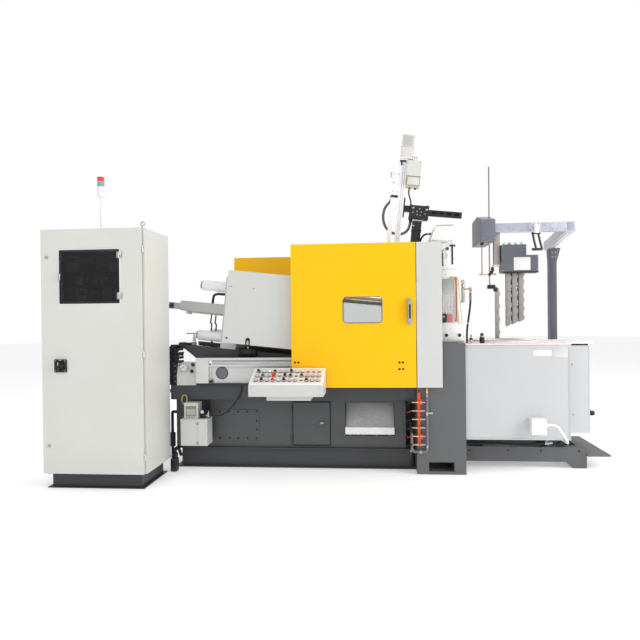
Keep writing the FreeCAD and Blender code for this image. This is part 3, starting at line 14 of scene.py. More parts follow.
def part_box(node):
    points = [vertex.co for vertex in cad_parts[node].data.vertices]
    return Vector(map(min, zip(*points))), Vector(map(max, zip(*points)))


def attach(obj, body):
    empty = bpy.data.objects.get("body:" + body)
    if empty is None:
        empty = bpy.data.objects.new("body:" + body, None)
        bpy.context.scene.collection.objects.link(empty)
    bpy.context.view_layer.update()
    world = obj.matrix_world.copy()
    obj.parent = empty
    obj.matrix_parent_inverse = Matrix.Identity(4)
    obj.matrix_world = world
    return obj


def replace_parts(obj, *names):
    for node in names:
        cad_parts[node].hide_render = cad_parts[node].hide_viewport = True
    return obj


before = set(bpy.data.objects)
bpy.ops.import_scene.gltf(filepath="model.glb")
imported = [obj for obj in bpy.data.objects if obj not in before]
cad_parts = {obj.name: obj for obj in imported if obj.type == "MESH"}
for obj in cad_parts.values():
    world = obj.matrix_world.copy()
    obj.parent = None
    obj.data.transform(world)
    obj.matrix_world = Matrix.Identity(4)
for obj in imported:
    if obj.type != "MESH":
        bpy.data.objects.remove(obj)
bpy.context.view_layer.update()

LOG = logging.getLogger("die_casting_machine")
MM = 0.001
SMOOTH_ANGLE = math.radians(38)
EDGE_ANGLE = math.radians(50)
WELD_GAP = 0.01
TONE_LOW, TONE_HIGH = 0.3, 0.7
COAT_ROUGH = 0.12


class Body(Enum):
    """The bodies that pieces ride on."""

    MACHINE = "machine"
    CABINET = "cabinet_leaf"
    DOOR = "sliding_door"
    ACCESS = "bed_door"


class Way(Enum):
    """The directions that turned parts and screws point in."""

    RIGHT = (1, 0, 0)
    LEFT = (-1, 0, 0)
    BACK = (0, 1, 0)
    FRONT = (0, -1, 0)
    UP = (0, 0, 1)
    DOWN = (0, 0, -1)

    @property
    def turn(self) -> Matrix:
        """The turn that takes +Z to this direction."""
        return Vector(self.value).to_track_quat("Z", "Y").to_matrix().to_4x4()


RIGHT, LEFT, BACK, FRONT, UP, DOWN = Way


class Plane(Enum):
    """The planes that outlines are drawn in, each with the axis it is thickened along."""

    XY = (0, 1, 2)
    XZ = (0, 2, 1)
    YZ = (1, 2, 0)

    def point(self, across: float, up: float, depth: float) -> Vector:
        """A point of an outline at a depth along the plane's axis."""
        spot = Vector((0, 0, 0))
        spot[self.value[0]] = across
        spot[self.value[1]] = up
        spot[self.value[2]] = depth
        return spot


class Grain(Enum):
    """Surface textures: grain in mm, its depth in mm, ripple in mm, ripple depth in mm, tone spread."""

    POWDER = (2.2, 0.05, 90.0, 0.25, 0.05)
    SATIN = (1.2, 0.02, 140.0, 0.30, 0.04)
    CAST = (5.0, 0.50, 40.0, 0.60, 0.25)
    MOULDED = (0.9, 0.02, 60.0, 0.05, 0.05)
    BRUSHED = (0.7, 0.02, 30.0, 0.05, 0.10)
    ZINC = (14.0, 0.03, 60.0, 0.10, 0.22)
    BOARD = (4.0, 0.30, 60.0, 0.50, 0.08)
    RUBBER = (1.6, 0.05, 40.0, 0.05, 0.12)


def linear(shade: str) -> tuple[float, float, float, float]:
    """A display colour as linear light.

    Args:
        shade: Six hexadecimal digits.

    Returns:
        Red, green, blue and alpha.
    """
    parts = [int(shade[i:i + 2], 16) / 255 for i in (0, 2, 4)]
    return (*[c / 12.92 if c < 0.04045 else ((c + 0.055) / 1.055) ** 2.4 for c in parts], 1.0)


class Tree:
    """A node tree with short ways to add and join nodes."""

    def __init__(self, tree: bpy.types.NodeTree) -> None:
        """Keep the tree."""
        self.tree = tree

    def add(self, kind: str, **inputs: object) -> bpy.types.Node:
        """Add a node.

        Args:
            kind: The node's type without its ShaderNode prefix, or a group's name after "group:".
            inputs: Values or sockets by input name, with _ for a space, and node settings after "set_".

        Returns:
            The new node.
        """
        if kind.startswith("group:"):
            node = self.tree.nodes.new("ShaderNodeGroup")
            node.node_tree = bpy.data.node_groups[kind[6:]]
        else:
            node = self.tree.nodes.new("ShaderNode" + kind)
        for key, value in inputs.items():
            if key.startswith("set_"):
                setattr(node, key[4:], value)
        for key, value in inputs.items():
            if key.startswith("set_"):
                continue
            socket = node.inputs[int(key[2:])] if key.startswith("in") else node.inputs[key.replace("_", " ")]
            if isinstance(value, bpy.types.NodeSocket):
                self.tree.links.new(value, socket)
            else:
                socket.default_value = value
        return node

    def math(self, operation: str, first: object, second: object = 0.0, clamp: bool = False) -> object:
        """A calculation on two values, as an output socket."""
        return self.add("Math", set_operation=operation, set_use_clamp=clamp, in0=first, in1=second).outputs[0]

    def mix(self, share: object, first: object, second: object) -> object:
        """A blend of two colours, as an output socket."""
        node = self.add("Mix", set_data_type="RGBA", in0=share, in6=first, in7=second)
        return node.outputs[2]


def effect(name: str, inputs: dict[str, float], outputs: tuple[str, ...]) -> tuple[Tree, object, object]:
    """Start a shared effect as a node group with named sockets.

    Args:
        name: The group's name.
        inputs: Names and default values of its inputs.
        outputs: Names of its outputs.

    Returns:
        The group's tree, its input node and its output node.
    """
    group = bpy.data.node_groups.new(name, "ShaderNodeTree")
    for label, value in inputs.items():
        group.interface.new_socket(name=label, in_out="INPUT", socket_type="NodeSocketFloat").default_value = value
    for label in outputs:
        group.interface.new_socket(name=label, in_out="OUTPUT", socket_type="NodeSocketFloat")
    tree = Tree(group)
    return tree, group.nodes.new("NodeGroupInput"), group.nodes.new("NodeGroupOutput")


def build_effects() -> None:
    """Build the shared effects: surface grain, edge wear, settled dust and drawn lines."""
    tree, start, end = effect("surface_grain", {"Grain": 600.0, "Ripple": 10.0, "Share": 0.5}, ("Height", "Tone"))
    spot = tree.add("TexCoord").outputs["Object"]
    fine = tree.add("TexNoise", Vector=spot, Scale=start.outputs["Grain"], Detail=2.0).outputs[0]
    broad = tree.add("TexNoise", Vector=spot, Scale=start.outputs["Ripple"], Detail=1.0).outputs[0]
    wide = tree.add("TexNoise", Vector=spot, Scale=1.7, Detail=4.0, Roughness=0.6).outputs[0]
    height = tree.add("Mix", set_data_type="FLOAT", in0=start.outputs["Share"], in2=fine, in3=broad).outputs[0]
    tree.tree.links.new(height, end.inputs["Height"])
    tree.tree.links.new(tree.math("ADD", tree.math("MULTIPLY", fine, 0.4), tree.math("MULTIPLY", wide, 0.6)),
        end.inputs["Tone"])

    tree, start, end = effect("edge_wear", {"Amount": 0.3}, ("Mask",))
    spot = tree.add("TexCoord").outputs["Object"]
    bevel = tree.add("Bevel", set_samples=4, Radius=0.004).outputs[0]
    flat = tree.add("NewGeometry").outputs["Normal"]
    turn = tree.add("VectorMath", set_operation="DOT_PRODUCT", in0=bevel, in1=flat).outputs["Value"]
    rim = tree.math("MULTIPLY", tree.math("SUBTRACT", 1.0, turn), 9.0, True)
    patch = tree.add("TexNoise", Vector=spot, Scale=55.0, Detail=5.0, Roughness=0.7).outputs[0]
    spare = tree.math("SUBTRACT", patch, tree.math("SUBTRACT", 0.72, tree.math("MULTIPLY", start.outputs["Amount"],
        0.4)))
    worn = tree.math("MULTIPLY", rim, tree.math("MULTIPLY", spare, 12.0, True), True)
    tree.tree.links.new(worn, end.inputs["Mask"])

    tree, start, end = effect("settled_dust", {"Amount": 0.3, "Height": 0.35}, ("Mask",))
    spot = tree.add("TexCoord").outputs["Object"]
    patch = tree.add("TexNoise", Vector=spot, Scale=9.0, Detail=6.0, Roughness=0.65).outputs[0]
    tall = tree.add("SeparateXYZ", in0=spot).outputs["Z"]
    near = tree.math("SUBTRACT", 1.0, tree.math("DIVIDE", tall, start.outputs["Height"]), True)
    faces = tree.add("SeparateXYZ", in0=tree.add("NewGeometry").outputs["Normal"]).outputs["Z"]
    lies = tree.math("MULTIPLY", tree.math("SUBTRACT", faces, 0.6, True), 1.6, True)
    spread = tree.math("MULTIPLY", tree.math("ADD", near, lies, True), patch)
    tree.tree.links.new(tree.math("MULTIPLY", spread, start.outputs["Amount"], True), end.inputs["Mask"])

    tree, start, end = effect("drawn_lines", {"Scale": 900.0, "Along X": 0.03, "Along Z": 1.0}, ("Height", "Tone"))
    spot = tree.add("TexCoord").outputs["Object"]
    squeeze = tree.add("CombineXYZ", in0=start.outputs["Along X"], in1=1.0, in2=start.outputs["Along Z"]).outputs[0]
    drawn = tree.add("VectorMath", set_operation="MULTIPLY", in0=spot, in1=squeeze).outputs[0]
    lines = tree.add("TexNoise", Vector=drawn, Scale=start.outputs["Scale"], Detail=3.0).outputs[0]
    tree.tree.links.new(lines, end.inputs["Height"])
    tree.tree.links.new(lines, end.inputs["Tone"])


@dataclass(frozen=True)
class Finish:
    """One coating, bare metal or moulded surface.

    The shade is what covers the part, bare is what shows through where edges are worn.
    """

    name: str
    shade: str
    rough: float
    grain: Grain
    metal: float = 0
    wear: float = 0
    bare: str = "7d7f82"
    dust: float = 0
    soil: str = "8a8378"
    clear: float = 0
    glass: float = 0
    glow: float = 0
    shine: float = 0.5
    solid: float = 1

    @property
    def material(self) -> bpy.types.Material:
        """The finish as a material, made the first time it is asked for."""
        return bpy.data.materials.get(self.name) or self.mix_up()

    def mix_up(self) -> bpy.types.Material:
        """Wire the finish's nodes."""
        material = bpy.data.materials.new(self.name)
        material.use_nodes = True
        tree = Tree(material.node_tree)
        shader = material.node_tree.nodes["Principled BSDF"]
        grain, depth, ripple, sway, tone = self.grain.value
        if self.grain is Grain.BRUSHED:
            field = tree.add("group:drawn_lines", Scale=1.0 / (grain * MM))
        else:
            field = tree.add("group:surface_grain", Grain=1.0 / (grain * MM), Ripple=1.0 / (ripple * MM),
                Share=sway / (sway + depth))
        shade = linear(self.shade)
        dark = tuple(c * (1.0 - tone) for c in shade[:3]) + (1.0,)
        light = tuple(min(1.0, c * (1.0 + tone)) for c in shade[:3]) + (1.0,)
        ramp = tree.add("MapRange", in0=field.outputs["Tone"], in1=TONE_LOW, in2=TONE_HIGH).outputs[0]
        colour = tree.mix(ramp, dark, light)
        rough = tree.add("MapRange", in0=field.outputs["Tone"], in1=TONE_LOW, in2=TONE_HIGH,
            in3=max(0.02, self.rough - 0.05), in4=min(1.0, self.rough + 0.07)).outputs[0]
        links = material.node_tree.links
        if self.wear:
            worn = tree.add("group:edge_wear", Amount=self.wear).outputs["Mask"]
            colour = tree.mix(worn, colour, linear(self.bare))
            links.new(tree.math("MULTIPLY", worn, 0.8), shader.inputs["Metallic"])
        if self.dust:
            settled = tree.add("group:settled_dust", Amount=self.dust).outputs["Mask"]
            colour = tree.mix(settled, colour, linear(self.soil))
            rough = tree.math("ADD", rough, tree.math("MULTIPLY", settled, 0.3), True)
        links.new(colour, shader.inputs["Base Color"])
        links.new(rough, shader.inputs["Roughness"])
        bump = tree.add("Bump", Strength=1.0, Distance=(depth + sway) * MM, Height=field.outputs["Height"])
        links.new(bump.outputs[0], shader.inputs["Normal"])
        if not self.wear:
            shader.inputs["Metallic"].default_value = self.metal
        shader.inputs["Specular IOR Level"].default_value = self.shine
        shader.inputs["Alpha"].default_value = self.solid
        shader.inputs["Coat Weight"].default_value = self.clear
        shader.inputs["Coat Roughness"].default_value = COAT_ROUGH
        shader.inputs["Transmission Weight"].default_value = self.glass
        if self.glow:
            links.new(colour, shader.inputs["Emission Color"])
            shader.inputs["Emission Strength"].default_value = self.glow
        return material


CABINET = Finish("cabinet_coat", "d3d3ce", 0.42, Grain.POWDER, wear=0.05, dust=0.10)
GUARD = Finish("guard_coat", "c9cac8", 0.36, Grain.SATIN, wear=0.08, dust=0.06)
WHITE = Finish("white_coat", "bfc0c2", 0.34, Grain.SATIN, wear=0.08, dust=0.08)
YELLOW = Finish("yellow_coat", "fbbd04", 0.42, Grain.SATIN, wear=0.05, bare="c9b36a", dust=0.02, shine=0.22)
BED = Finish("bed_coat", "494c4e", 0.40, Grain.SATIN, wear=0.22, dust=0.22)
COLUMN = Finish("column_coat", "5b5d5f", 0.42, Grain.SATIN, wear=0.15, dust=0.12)
BLUE_GREY = Finish("blue_grey_coat", "5d5f69", 0.38, Grain.SATIN, wear=0.15, dust=0.08)
RED_BAR = Finish("orange_coat", "e8481c", 0.34, Grain.SATIN, wear=0.2)
BLACK = Finish("black_coat", "1d1e20", 0.45, Grain.SATIN, wear=0.25, dust=0.1)
PLASTIC = Finish("black_moulding", "141516", 0.38, Grain.MOULDED)
PALE_PLASTIC = Finish("pale_moulding", "eeeeec", 0.35, Grain.MOULDED)
RUBBER = Finish("black_rubber_skin", "161617", 0.62, Grain.RUBBER)
GREY_RUBBER = Finish("grey_rubber_skin", "6f7276", 0.6, Grain.RUBBER)
STEEL = Finish("bright_steel", "c6c8ca", 0.22, Grain.BRUSHED, metal=1.0)
SCREW = Finish("plated_screw", "b9babb", 0.3, Grain.ZINC, metal=1.0)
DARK_STEEL = Finish("blacked_steel", "2c2d2f", 0.42, Grain.ZINC, metal=0.7)
ZINC = Finish("galvanised_sheet", "b4b7bb", 0.36, Grain.ZINC, metal=0.85, dust=0.06)
SHEET = Finish("scuffed_sheet", "b9bbbc", 0.34, Grain.ZINC, metal=0.75, dust=0.1)
ALUMINIUM = Finish("anodised_bar", "f1f1f3", 0.34, Grain.BRUSHED, metal=0.08)
BRASS = Finish("turned_brass", "d3b983", 0.26, Grain.BRUSHED, metal=1.0)
COPPER = Finish("drawn_copper", "cf9273", 0.28, Grain.BRUSHED, metal=1.0)
CAST = Finish("cast_pot", "2b2a29", 0.75, Grain.CAST, dust=0.3, soil="8d8a86")
BOARD = Finish("pressed_board", "eee3df", 0.8, Grain.BOARD, dust=0.06)
ELEMENT = Finish("scaled_element", "938e8b", 0.65, Grain.CAST, metal=0.1)
GLASS_DARK = Finish("smoked_pane", "161214", 0.05, Grain.MOULDED, solid=0.6)
GLASS_CLEAR = Finish("clear_pane", "f2f5f5", 0.03, Grain.MOULDED, glass=1.0)
RED = Finish("red_moulding", "d4231c", 0.3, Grain.MOULDED)
CYAN = Finish("cyan_lens", "9fd8d8", 0.2, Grain.MOULDED, glow=0.15)
GREEN = Finish("green_moulding", "1c5a52", 0.3, Grain.MOULDED)
TEAL_LENS = Finish("teal_lens", "6fa9a6", 0.2, Grain.MOULDED, clear=0.5)
RED_LENS = Finish("red_lens", "e0302f", 0.2, Grain.MOULDED, clear=0.5)
BLUE = Finish("blue_coat", "6d8290", 0.35, Grain.SATIN, wear=0.2)
PLATE = Finish("blank_plate", "cfd0cf", 0.38, Grain.BRUSHED, metal=0.3)
CARRIER = Finish("sensor_shell", "5c554c", 0.45, Grain.CAST, dust=0.2)
VENT = Finish("vent_holes", "76756e", 0.7, Grain.MOULDED)
PALE_BOX = Finish("pale_grey_coat", "d3d2ce", 0.4, Grain.SATIN, wear=0.08, dust=0.08)
SEAL = Finish("window_seal", "8f8a7a", 0.55, Grain.RUBBER)
HANDLE = Finish("handle_coat", "a2a6b0", 0.32, Grain.SATIN, wear=0.15)
GROMMET = Finish("grommet_face", "66626c", 0.55, Grain.RUBBER)
ORANGE = Finish("orange_line", "d98a62", 0.45, Grain.SATIN)
LABEL = Finish("blank_label", "dcdcda", 0.4, Grain.MOULDED)
WHITE_LENS = Finish("white_lens", "e6efef", 0.2, Grain.MOULDED, glow=0.1)
GREY_PLASTIC = Finish("grey_moulding", "5d5654", 0.4, Grain.MOULDED)
FADED_RED = Finish("coil_label", "c4716c", 0.45, Grain.MOULDED)
OLIVE = Finish("olive_latch", "8f8a4a", 0.45, Grain.SATIN, wear=0.2)
FACE = Finish("pump_face", "85857d", 0.4, Grain.SATIN)
HOSE_AMBER = Finish("amber_tube", "b99a4c", 0.35, Grain.MOULDED, clear=0.3)
HOSE_ORANGE = Finish("orange_hose", "b3401c", 0.5, Grain.RUBBER)
GREY_STEEL = Finish("grey_pipe", "77787b", 0.38, Grain.ZINC, metal=0.5, dust=0.1)
PANEL = Finish("ribbed_sheet", "cfcfcf", 0.4, Grain.ZINC, metal=0.2, dust=0.05)
COIL = Finish("tarnished_spring", "bfb2a2", 0.42, Grain.CAST, metal=0.35)
SEAM = Finish("folded_seam", "a7a9aa", 0.6, Grain.SATIN)
STEP = Finish("step_coat", "5e6062", 0.5, Grain.SATIN, wear=0.3, dust=0.3)
POST = Finish("post_coat", "55535d", 0.4, Grain.SATIN, wear=0.12, dust=0.08)
BEAM = Finish("spangled_beam", "bcc3d0", 0.3, Grain.ZINC, metal=0.55)
LEVEL = Finish("level_box_coat", "6b6d77", 0.42, Grain.SATIN, wear=0.12, dust=0.08)
ROD_BROWN = Finish("scaled_rod", "968a84", 0.5, Grain.CAST, metal=0.3)
PLINTH = Finish("plinth_coat", "2d2f31", 0.42, Grain.SATIN, wear=0.2, dust=0.04)
GEAR = Finish("switchgear_shell", "6d6a68", 0.45, Grain.MOULDED)
GEAR_PALE = Finish("switchgear_pale", "9a9b96", 0.45, Grain.MOULDED)
DARK = Finish("beam_coat", "3a3c3f", 0.42, Grain.SATIN, wear=0.2, dust=0.05)
# Partly the parts' own whiter paint, partly painted light: lightened for the shade the injection parts sit in behind
# the guard.
LIGHTENED_WHITE = Finish("white_coat_lightened", "f0f0ef", 0.34, Grain.SATIN, wear=0.05, dust=0.04)
# Painted light: the chute's slide is near white, lighter than its scuffed sheet, to make up for the shade in its
# recess.
CHUTE_LIGHTENED = Finish("chute_sheet_lightened", "e9ebeb", 0.34, Grain.ZINC, metal=0.12, dust=0.05)
TROLLEY = Finish("trolley_coat", "56585b", 0.42, Grain.SATIN, wear=0.2, dust=0.15)
BEZEL = Finish("button_bezel", "d9d4d2", 0.3, Grain.BRUSHED, metal=0.2)
BUTTON_CAP = Finish("pale_button", "c3bcba", 0.4, Grain.MOULDED)
FRESH_WHITE = Finish("fresh_white_coat", "fbfbfa", 0.4, Grain.SATIN)
DESK_FIELD = Finish("desk_field", "ece8e6", 0.42, Grain.MOULDED)
DESK_WARM = Finish("desk_warm_field", "f0e0d2", 0.42, Grain.MOULDED)
FADED_BROWN = Finish("brown_label", "9a736a", 0.45, Grain.MOULDED)
STRAP = Finish("heated_strip", "b3aaa6", 0.42, Grain.ZINC, metal=0.3)


def spread(low: float, high: float, count: int) -> list[float]:
    """Evenly spaced places from one to another."""
    return [low + (high - low) * i / (count - 1) for i in range(count)]


def cad(node: str) -> tuple[Vector, Vector]:
    """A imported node's lowest and highest corners, in millimetres."""
    low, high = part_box(node)
    return low / MM, high / MM


def dress(node: str, finish: Finish, soft: float = 0.0) -> None:
    """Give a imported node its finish, and round its sharp edges.

    Args:
        node: The node's name.
        finish: What covers it.
        soft: How far its edges are rounded, in millimetres, or 0.
    """
    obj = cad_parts[node]
    if not obj.material_slots:
        obj.data.materials.append(None)
    for held in obj.material_slots:
        held.material = finish.material
    if soft:
        weld = obj.modifiers.new("joined", "WELD")
        weld.merge_threshold = WELD_GAP * MM
        edge = obj.modifiers.new("rounded", "BEVEL")
        edge.width = soft * MM
        edge.segments = 2
        edge.limit_method = "ANGLE"
        edge.angle_limit = EDGE_ANGLE
        edge.harden_normals = True
    LOG.info("dressed %s in %s", node, finish.name)


class Shape:
    """Collects rounded solids, in millimetres, and joins them into one piece."""

    def __init__(self, name: str, place: Matrix | None = None) -> None:
        """Start a piece.

        Args:
            name: The piece's name.
            place: Where its own frame lies in the machine's frame, in millimetres.
        """
        self.name = name
        self.place = place or Matrix.Identity(4)
        self.mesh = bmesh.new()
        self.finishes: list[bpy.types.Material] = []

    def take(self, part: bmesh.types.BMesh, finish: Finish, turn: Matrix | None = None) -> None:
        """Add one solid to the piece."""
        if turn:
            part.transform(turn)
        if finish.material not in self.finishes:
            self.finishes.append(finish.material)
        index = self.finishes.index(finish.material)
        for face in part.faces:
            face.material_index = index
        held = bpy.data.meshes.new("part")
        part.to_mesh(held)
        part.free()
        self.mesh.from_mesh(held)
        bpy.data.meshes.remove(held)

    def block(self, low: tuple, high: tuple, finish: Finish, soft: float = 1.5, turn: Matrix | None = None) -> None:
        """A block with rounded edges, between two corners."""
        low, high = Vector(low), Vector(high)
        part = bmesh.new()
        bmesh.ops.create_cube(part, size=1.0)
        bmesh.ops.scale(part, vec=high - low, verts=part.verts)
        bmesh.ops.translate(part, vec=(low + high) / 2, verts=part.verts)
        soft = min(soft, min(high - low) * 0.45)
        bmesh.ops.bevel(part, geom=part.edges[:], offset=soft, segments=2, affect="EDGES", profile=0.6)
        self.take(part, finish, turn)

    def slab(self, outline: list[tuple], plane: Plane, low: float, high: float, finish: Finish,
            soft: float = 1.0) -> None:
        """An outline thickened along its plane's axis, with rounded edges."""
        part = bmesh.new()
        face = part.faces.new([part.verts.new(plane.point(u, v, low)) for u, v in outline])
        grown = bmesh.ops.extrude_face_region(part, geom=[face])["geom"]
        shift = plane.point(0, 0, high - low)
        bmesh.ops.translate(part, vec=shift, verts=[g for g in grown if isinstance(g, bmesh.types.BMVert)])
        bmesh.ops.recalc_face_normals(part, faces=part.faces)
        if soft:
            rims = [e for e in part.edges if e.calc_face_angle(0) > 0.6]
            bmesh.ops.bevel(part, geom=rims, offset=soft, segments=2, affect="EDGES", profile=0.6)
        self.take(part, finish)

    def turned(self, start: tuple, way: Way | Matrix, profile: list[tuple], finish: Finish, steps: int = 24) -> None:
        """A turned solid.

        Args:
            start: Where its axis starts.
            way: The direction of its axis, or the turn that takes +Z there.
            profile: Its outline as pairs of distance along the axis and radius.
            finish: What covers it.
            steps: How many flats it has round its axis.
        """
        part = bmesh.new()
        rings = []
        for along, radius in profile:
            if radius <= 0:
                rings.append([part.verts.new((0, 0, along))])
                continue
            rings.append([part.verts.new((radius * math.cos(math.tau * i / steps),
                radius * math.sin(math.tau * i / steps), along)) for i in range(steps)])
        for lower, upper in zip(rings, rings[1:]):
            for i in range(steps):
                j = (i + 1) % steps
                corners = dict.fromkeys((lower[i % len(lower)], lower[j % len(lower)], upper[j % len(upper)],
                    upper[i % len(upper)]))
                if len(corners) > 2:
                    part.faces.new(list(corners))
        for ring in (rings[0], rings[-1]):
            if len(ring) > 1:
                part.faces.new(ring)
        bmesh.ops.recalc_face_normals(part, faces=part.faces)
        turn = way.turn if isinstance(way, Way) else way
        self.take(part, finish, Matrix.Translation(Vector(start)) @ turn)

    def rod(self, start: tuple, way: Way | Matrix, radius: float, length: float, finish: Finish, soft: float = 1.0,
            steps: int = 24) -> None:
        """A round bar with broken edges."""
        soft = min(soft, length / 3, radius / 2)
        self.turned(start, way, [(0, 0), (0, radius - soft), (soft * 0.3, radius - soft * 0.3), (soft, radius),
            (length - soft, radius), (length - soft * 0.3, radius - soft * 0.3), (length, radius - soft),
            (length, 0)], finish, steps)

    def screw(self, at: tuple, way: Way | Matrix, radius: float = 5.0, finish: Finish = SCREW) -> None:
        """A button head screw with a six-sided socket."""
        tall = radius * 0.55
        self.turned(at, way, [(-1.0, radius), (tall * 0.4, radius), (tall * 0.85, radius * 0.8), (tall, radius * 0.5),
            (tall * 0.3, radius * 0.42), (tall * 0.3, 0)], finish, 12)

    def screws(self, xs: Iterable, ys: Iterable, zs: Iterable, way: Way, radius: float = 5.0,
            finish: Finish = SCREW) -> None:
        """A screw at every crossing of a few places along each axis."""
        for at in product(xs, ys, zs):
            self.screw(at, way, radius, finish)

    def bolt(self, at: tuple, way: Way | Matrix, radius: float = 8.0, finish: Finish = SCREW) -> None:
        """A six-sided bolt head on its washer."""
        self.rod(at, way, radius * 1.35, radius * 0.25, finish, 0.4, 16)
        self.turned(at, way, [(0, radius), (radius * 0.75, radius), (radius * 0.9, radius * 0.82), (radius * 0.9, 0)],
            finish, 6)

    def ring(self, at: tuple, way: Way | Matrix, outer: float, inner: float, tall: float, finish: Finish,
            steps: int = 24) -> None:
        """A flat ring with a rounded rim."""
        soft = min(tall, outer - inner) * 0.3
        self.turned(at, way, [(0, inner), (0, outer - soft), (soft, outer), (tall - soft, outer),
            (tall, outer - soft), (tall, inner + soft), (tall - soft, inner), (0, inner)], finish, steps)

    def pipe(self, line: Iterable, radius: float | list[float], finish: Finish, steps: int = 10,
            closed: bool = False) -> None:
        """A round tube along a line, which may swell and narrow."""
        line = [Vector(point) for point in line]
        part = bmesh.new()
        radii = radius if isinstance(radius, list) else [radius] * len(line)
        side = Vector((0, 0, 1)) if abs((line[1] - line[0]).normalized().z) < 0.9 else Vector((1, 0, 0))
        rings = []
        count = len(line)
        for i, point in enumerate(line):
            before = line[i - 1] if i or closed else point
            after = line[(i + 1) % count] if i + 1 < count or closed else point
            run = (after - before).normalized()
            side = (side - run * side.dot(run)).normalized()
            other = run.cross(side)
            turns = [math.tau * k / steps for k in range(steps)]
            rings.append([part.verts.new(point + (side * math.cos(turn) + other * math.sin(turn)) * radii[i])
                          for turn in turns])
        pairs = list(zip(rings, rings[1:])) + ([(rings[-1], rings[0])] if closed else [])
        for lower, upper in pairs:
            for k in range(steps):
                m = (k + 1) % steps
                part.faces.new((lower[k], lower[m], upper[m], upper[k]))
        if not closed:
            part.faces.new(rings[0])
            part.faces.new(rings[-1])
        bmesh.ops.recalc_face_normals(part, faces=part.faces)
        self.take(part, finish)

    def frame_line(self, low: tuple, high: tuple, y: float, radius: float, corner: float, finish: Finish) -> None:
        """A rounded rectangle of beading in an upright plane that faces the front."""
        line = []
        for cx, cz, start in ((high[0] - corner, high[1] - corner, 0), (low[0] + corner, high[1] - corner, 90),
                (low[0] + corner, low[1] + corner, 180), (high[0] - corner, low[1] + corner, 270)):
            for i in range(7):
                angle = math.radians(start + i * 15)
                line.append(Vector((cx + corner * math.cos(angle), y, cz + corner * math.sin(angle))))
        self.pipe(line, radius, finish, 8, True)

    def done(self, body: Body = Body.MACHINE) -> bpy.types.Object:
        """Make the piece's object and let it ride.

        Args:
            body: The body it moves with.

        Returns:
            The object.
        """
        self.mesh.transform(Matrix.Scale(MM, 4) @ self.place)
        data = bpy.data.meshes.new(self.name)
        self.mesh.to_mesh(data)
        self.mesh.free()
        for material in self.finishes:
            data.materials.append(material)
        data.polygons.foreach_set("use_smooth", [True] * len(data.polygons))
        data.set_sharp_from_angle(angle=SMOOTH_ANGLE)
        obj = bpy.data.objects.new(self.name, data)
        bpy.context.scene.collection.objects.link(obj)
        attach(obj, body.value)
        LOG.info("made %s with %d faces", self.name, len(data.polygons))
        return obj


@dataclass
class Studio:
    """The camera, the floor and the soft light."""

    eye: tuple[float, float, float] = (-0.510, -5.197, 1.255)
    heading: float = 0.0912
    nod: float = -0.0073
    roll: float = -0.0108
    lens: float = 33.75
    sensor: float = 36
    floor_radius: float = 30
    sky: float = 0.66
    backdrop: float = 1
    floor_glow: float = 0.3

    def build(self) -> None:
        """Set up the view, the floor and the lights."""
        self.camera()
        self.floor()
        self.sky_light()
        self.lamp("key", (-3.0, -6.5, 4.2), (0.0, 0.0, 0.6), 4.0, 78.0)
        self.lamp("fill", (4.9, -2.5, 2.8), (-2.2, -0.7, 1.1), 3.0, 215.0)
        self.lamp("rim", (0.5, 3.0, 6.5), (0.0, 0.0, 1.0), 4.0, 130.0)
        bpy.context.scene.view_settings.view_transform = "Standard"

    def camera(self) -> None:
        """Place the camera."""
        data = bpy.data.cameras.new("view")
        data.lens = self.lens
        data.sensor_width = self.sensor
        camera = bpy.data.objects.new("view", data)
        camera.matrix_world = (Matrix.Translation(self.eye) @ Matrix.Rotation(self.heading, 4,
            "Z") @ Matrix.Rotation(math.pi / 2 + self.nod, 4, "X") @ Matrix.Rotation(self.roll, 4, "Z"))
        bpy.context.scene.collection.objects.link(camera)
        bpy.context.scene.camera = camera

    def floor(self) -> None:
        """Lay a wide pale floor."""
        mesh = bmesh.new()
        bmesh.ops.create_circle(mesh, cap_ends=True, segments=64, radius=self.floor_radius)
        data = bpy.data.meshes.new("floor")
        mesh.to_mesh(data)
        mesh.free()
        material = bpy.data.materials.new("studio_floor")
        material.use_nodes = True
        shader = material.node_tree.nodes["Principled BSDF"]
        shader.inputs["Base Color"].default_value = (0.93, 0.93, 0.93, 1.0)
        shader.inputs["Roughness"].default_value = 0.85
        shader.inputs["Emission Color"].default_value = (1.0, 1.0, 1.0, 1.0)
        shader.inputs["Emission Strength"].default_value = self.floor_glow
        data.materials.append(material)
        floor = bpy.data.objects.new("floor", data)
        floor.location.z = -0.0005
        bpy.context.scene.collection.objects.link(floor)

    def sky_light(self) -> None:
        """Light everything evenly from all round."""
        world = bpy.data.worlds.new("studio")
        bpy.context.scene.world = world
        world.use_nodes = True
        sky = world.node_tree.nodes["Background"]
        sky.inputs["Color"].default_value = (1.0, 1.0, 1.0, 1.0)
        tree = Tree(world.node_tree)
        seen = tree.add("LightPath").outputs["Is Camera Ray"]
        level = tree.add("MapRange", in0=seen, in3=self.sky, in4=self.backdrop).outputs[0]
        world.node_tree.links.new(level, sky.inputs["Strength"])

    def lamp(self, name: str, at: tuple, to: tuple, size: float, power: float) -> None:
        """Hang one soft square light.

        Args:
            name: The lamp's name.
            at: Where it hangs, in metres.
            to: What it faces, in metres.
            size: The length of its side, in metres.
            power: Its power, in watts.
        """
        data = bpy.data.lights.new(name, "AREA")
        data.size = size
        data.energy = power
        lamp = bpy.data.objects.new(name, data)
        lamp.location = at
        lamp.rotation_euler = (Vector(to) - Vector(at)).to_track_quat("-Z", "Y").to_euler()
        bpy.context.scene.collection.objects.link(lamp)


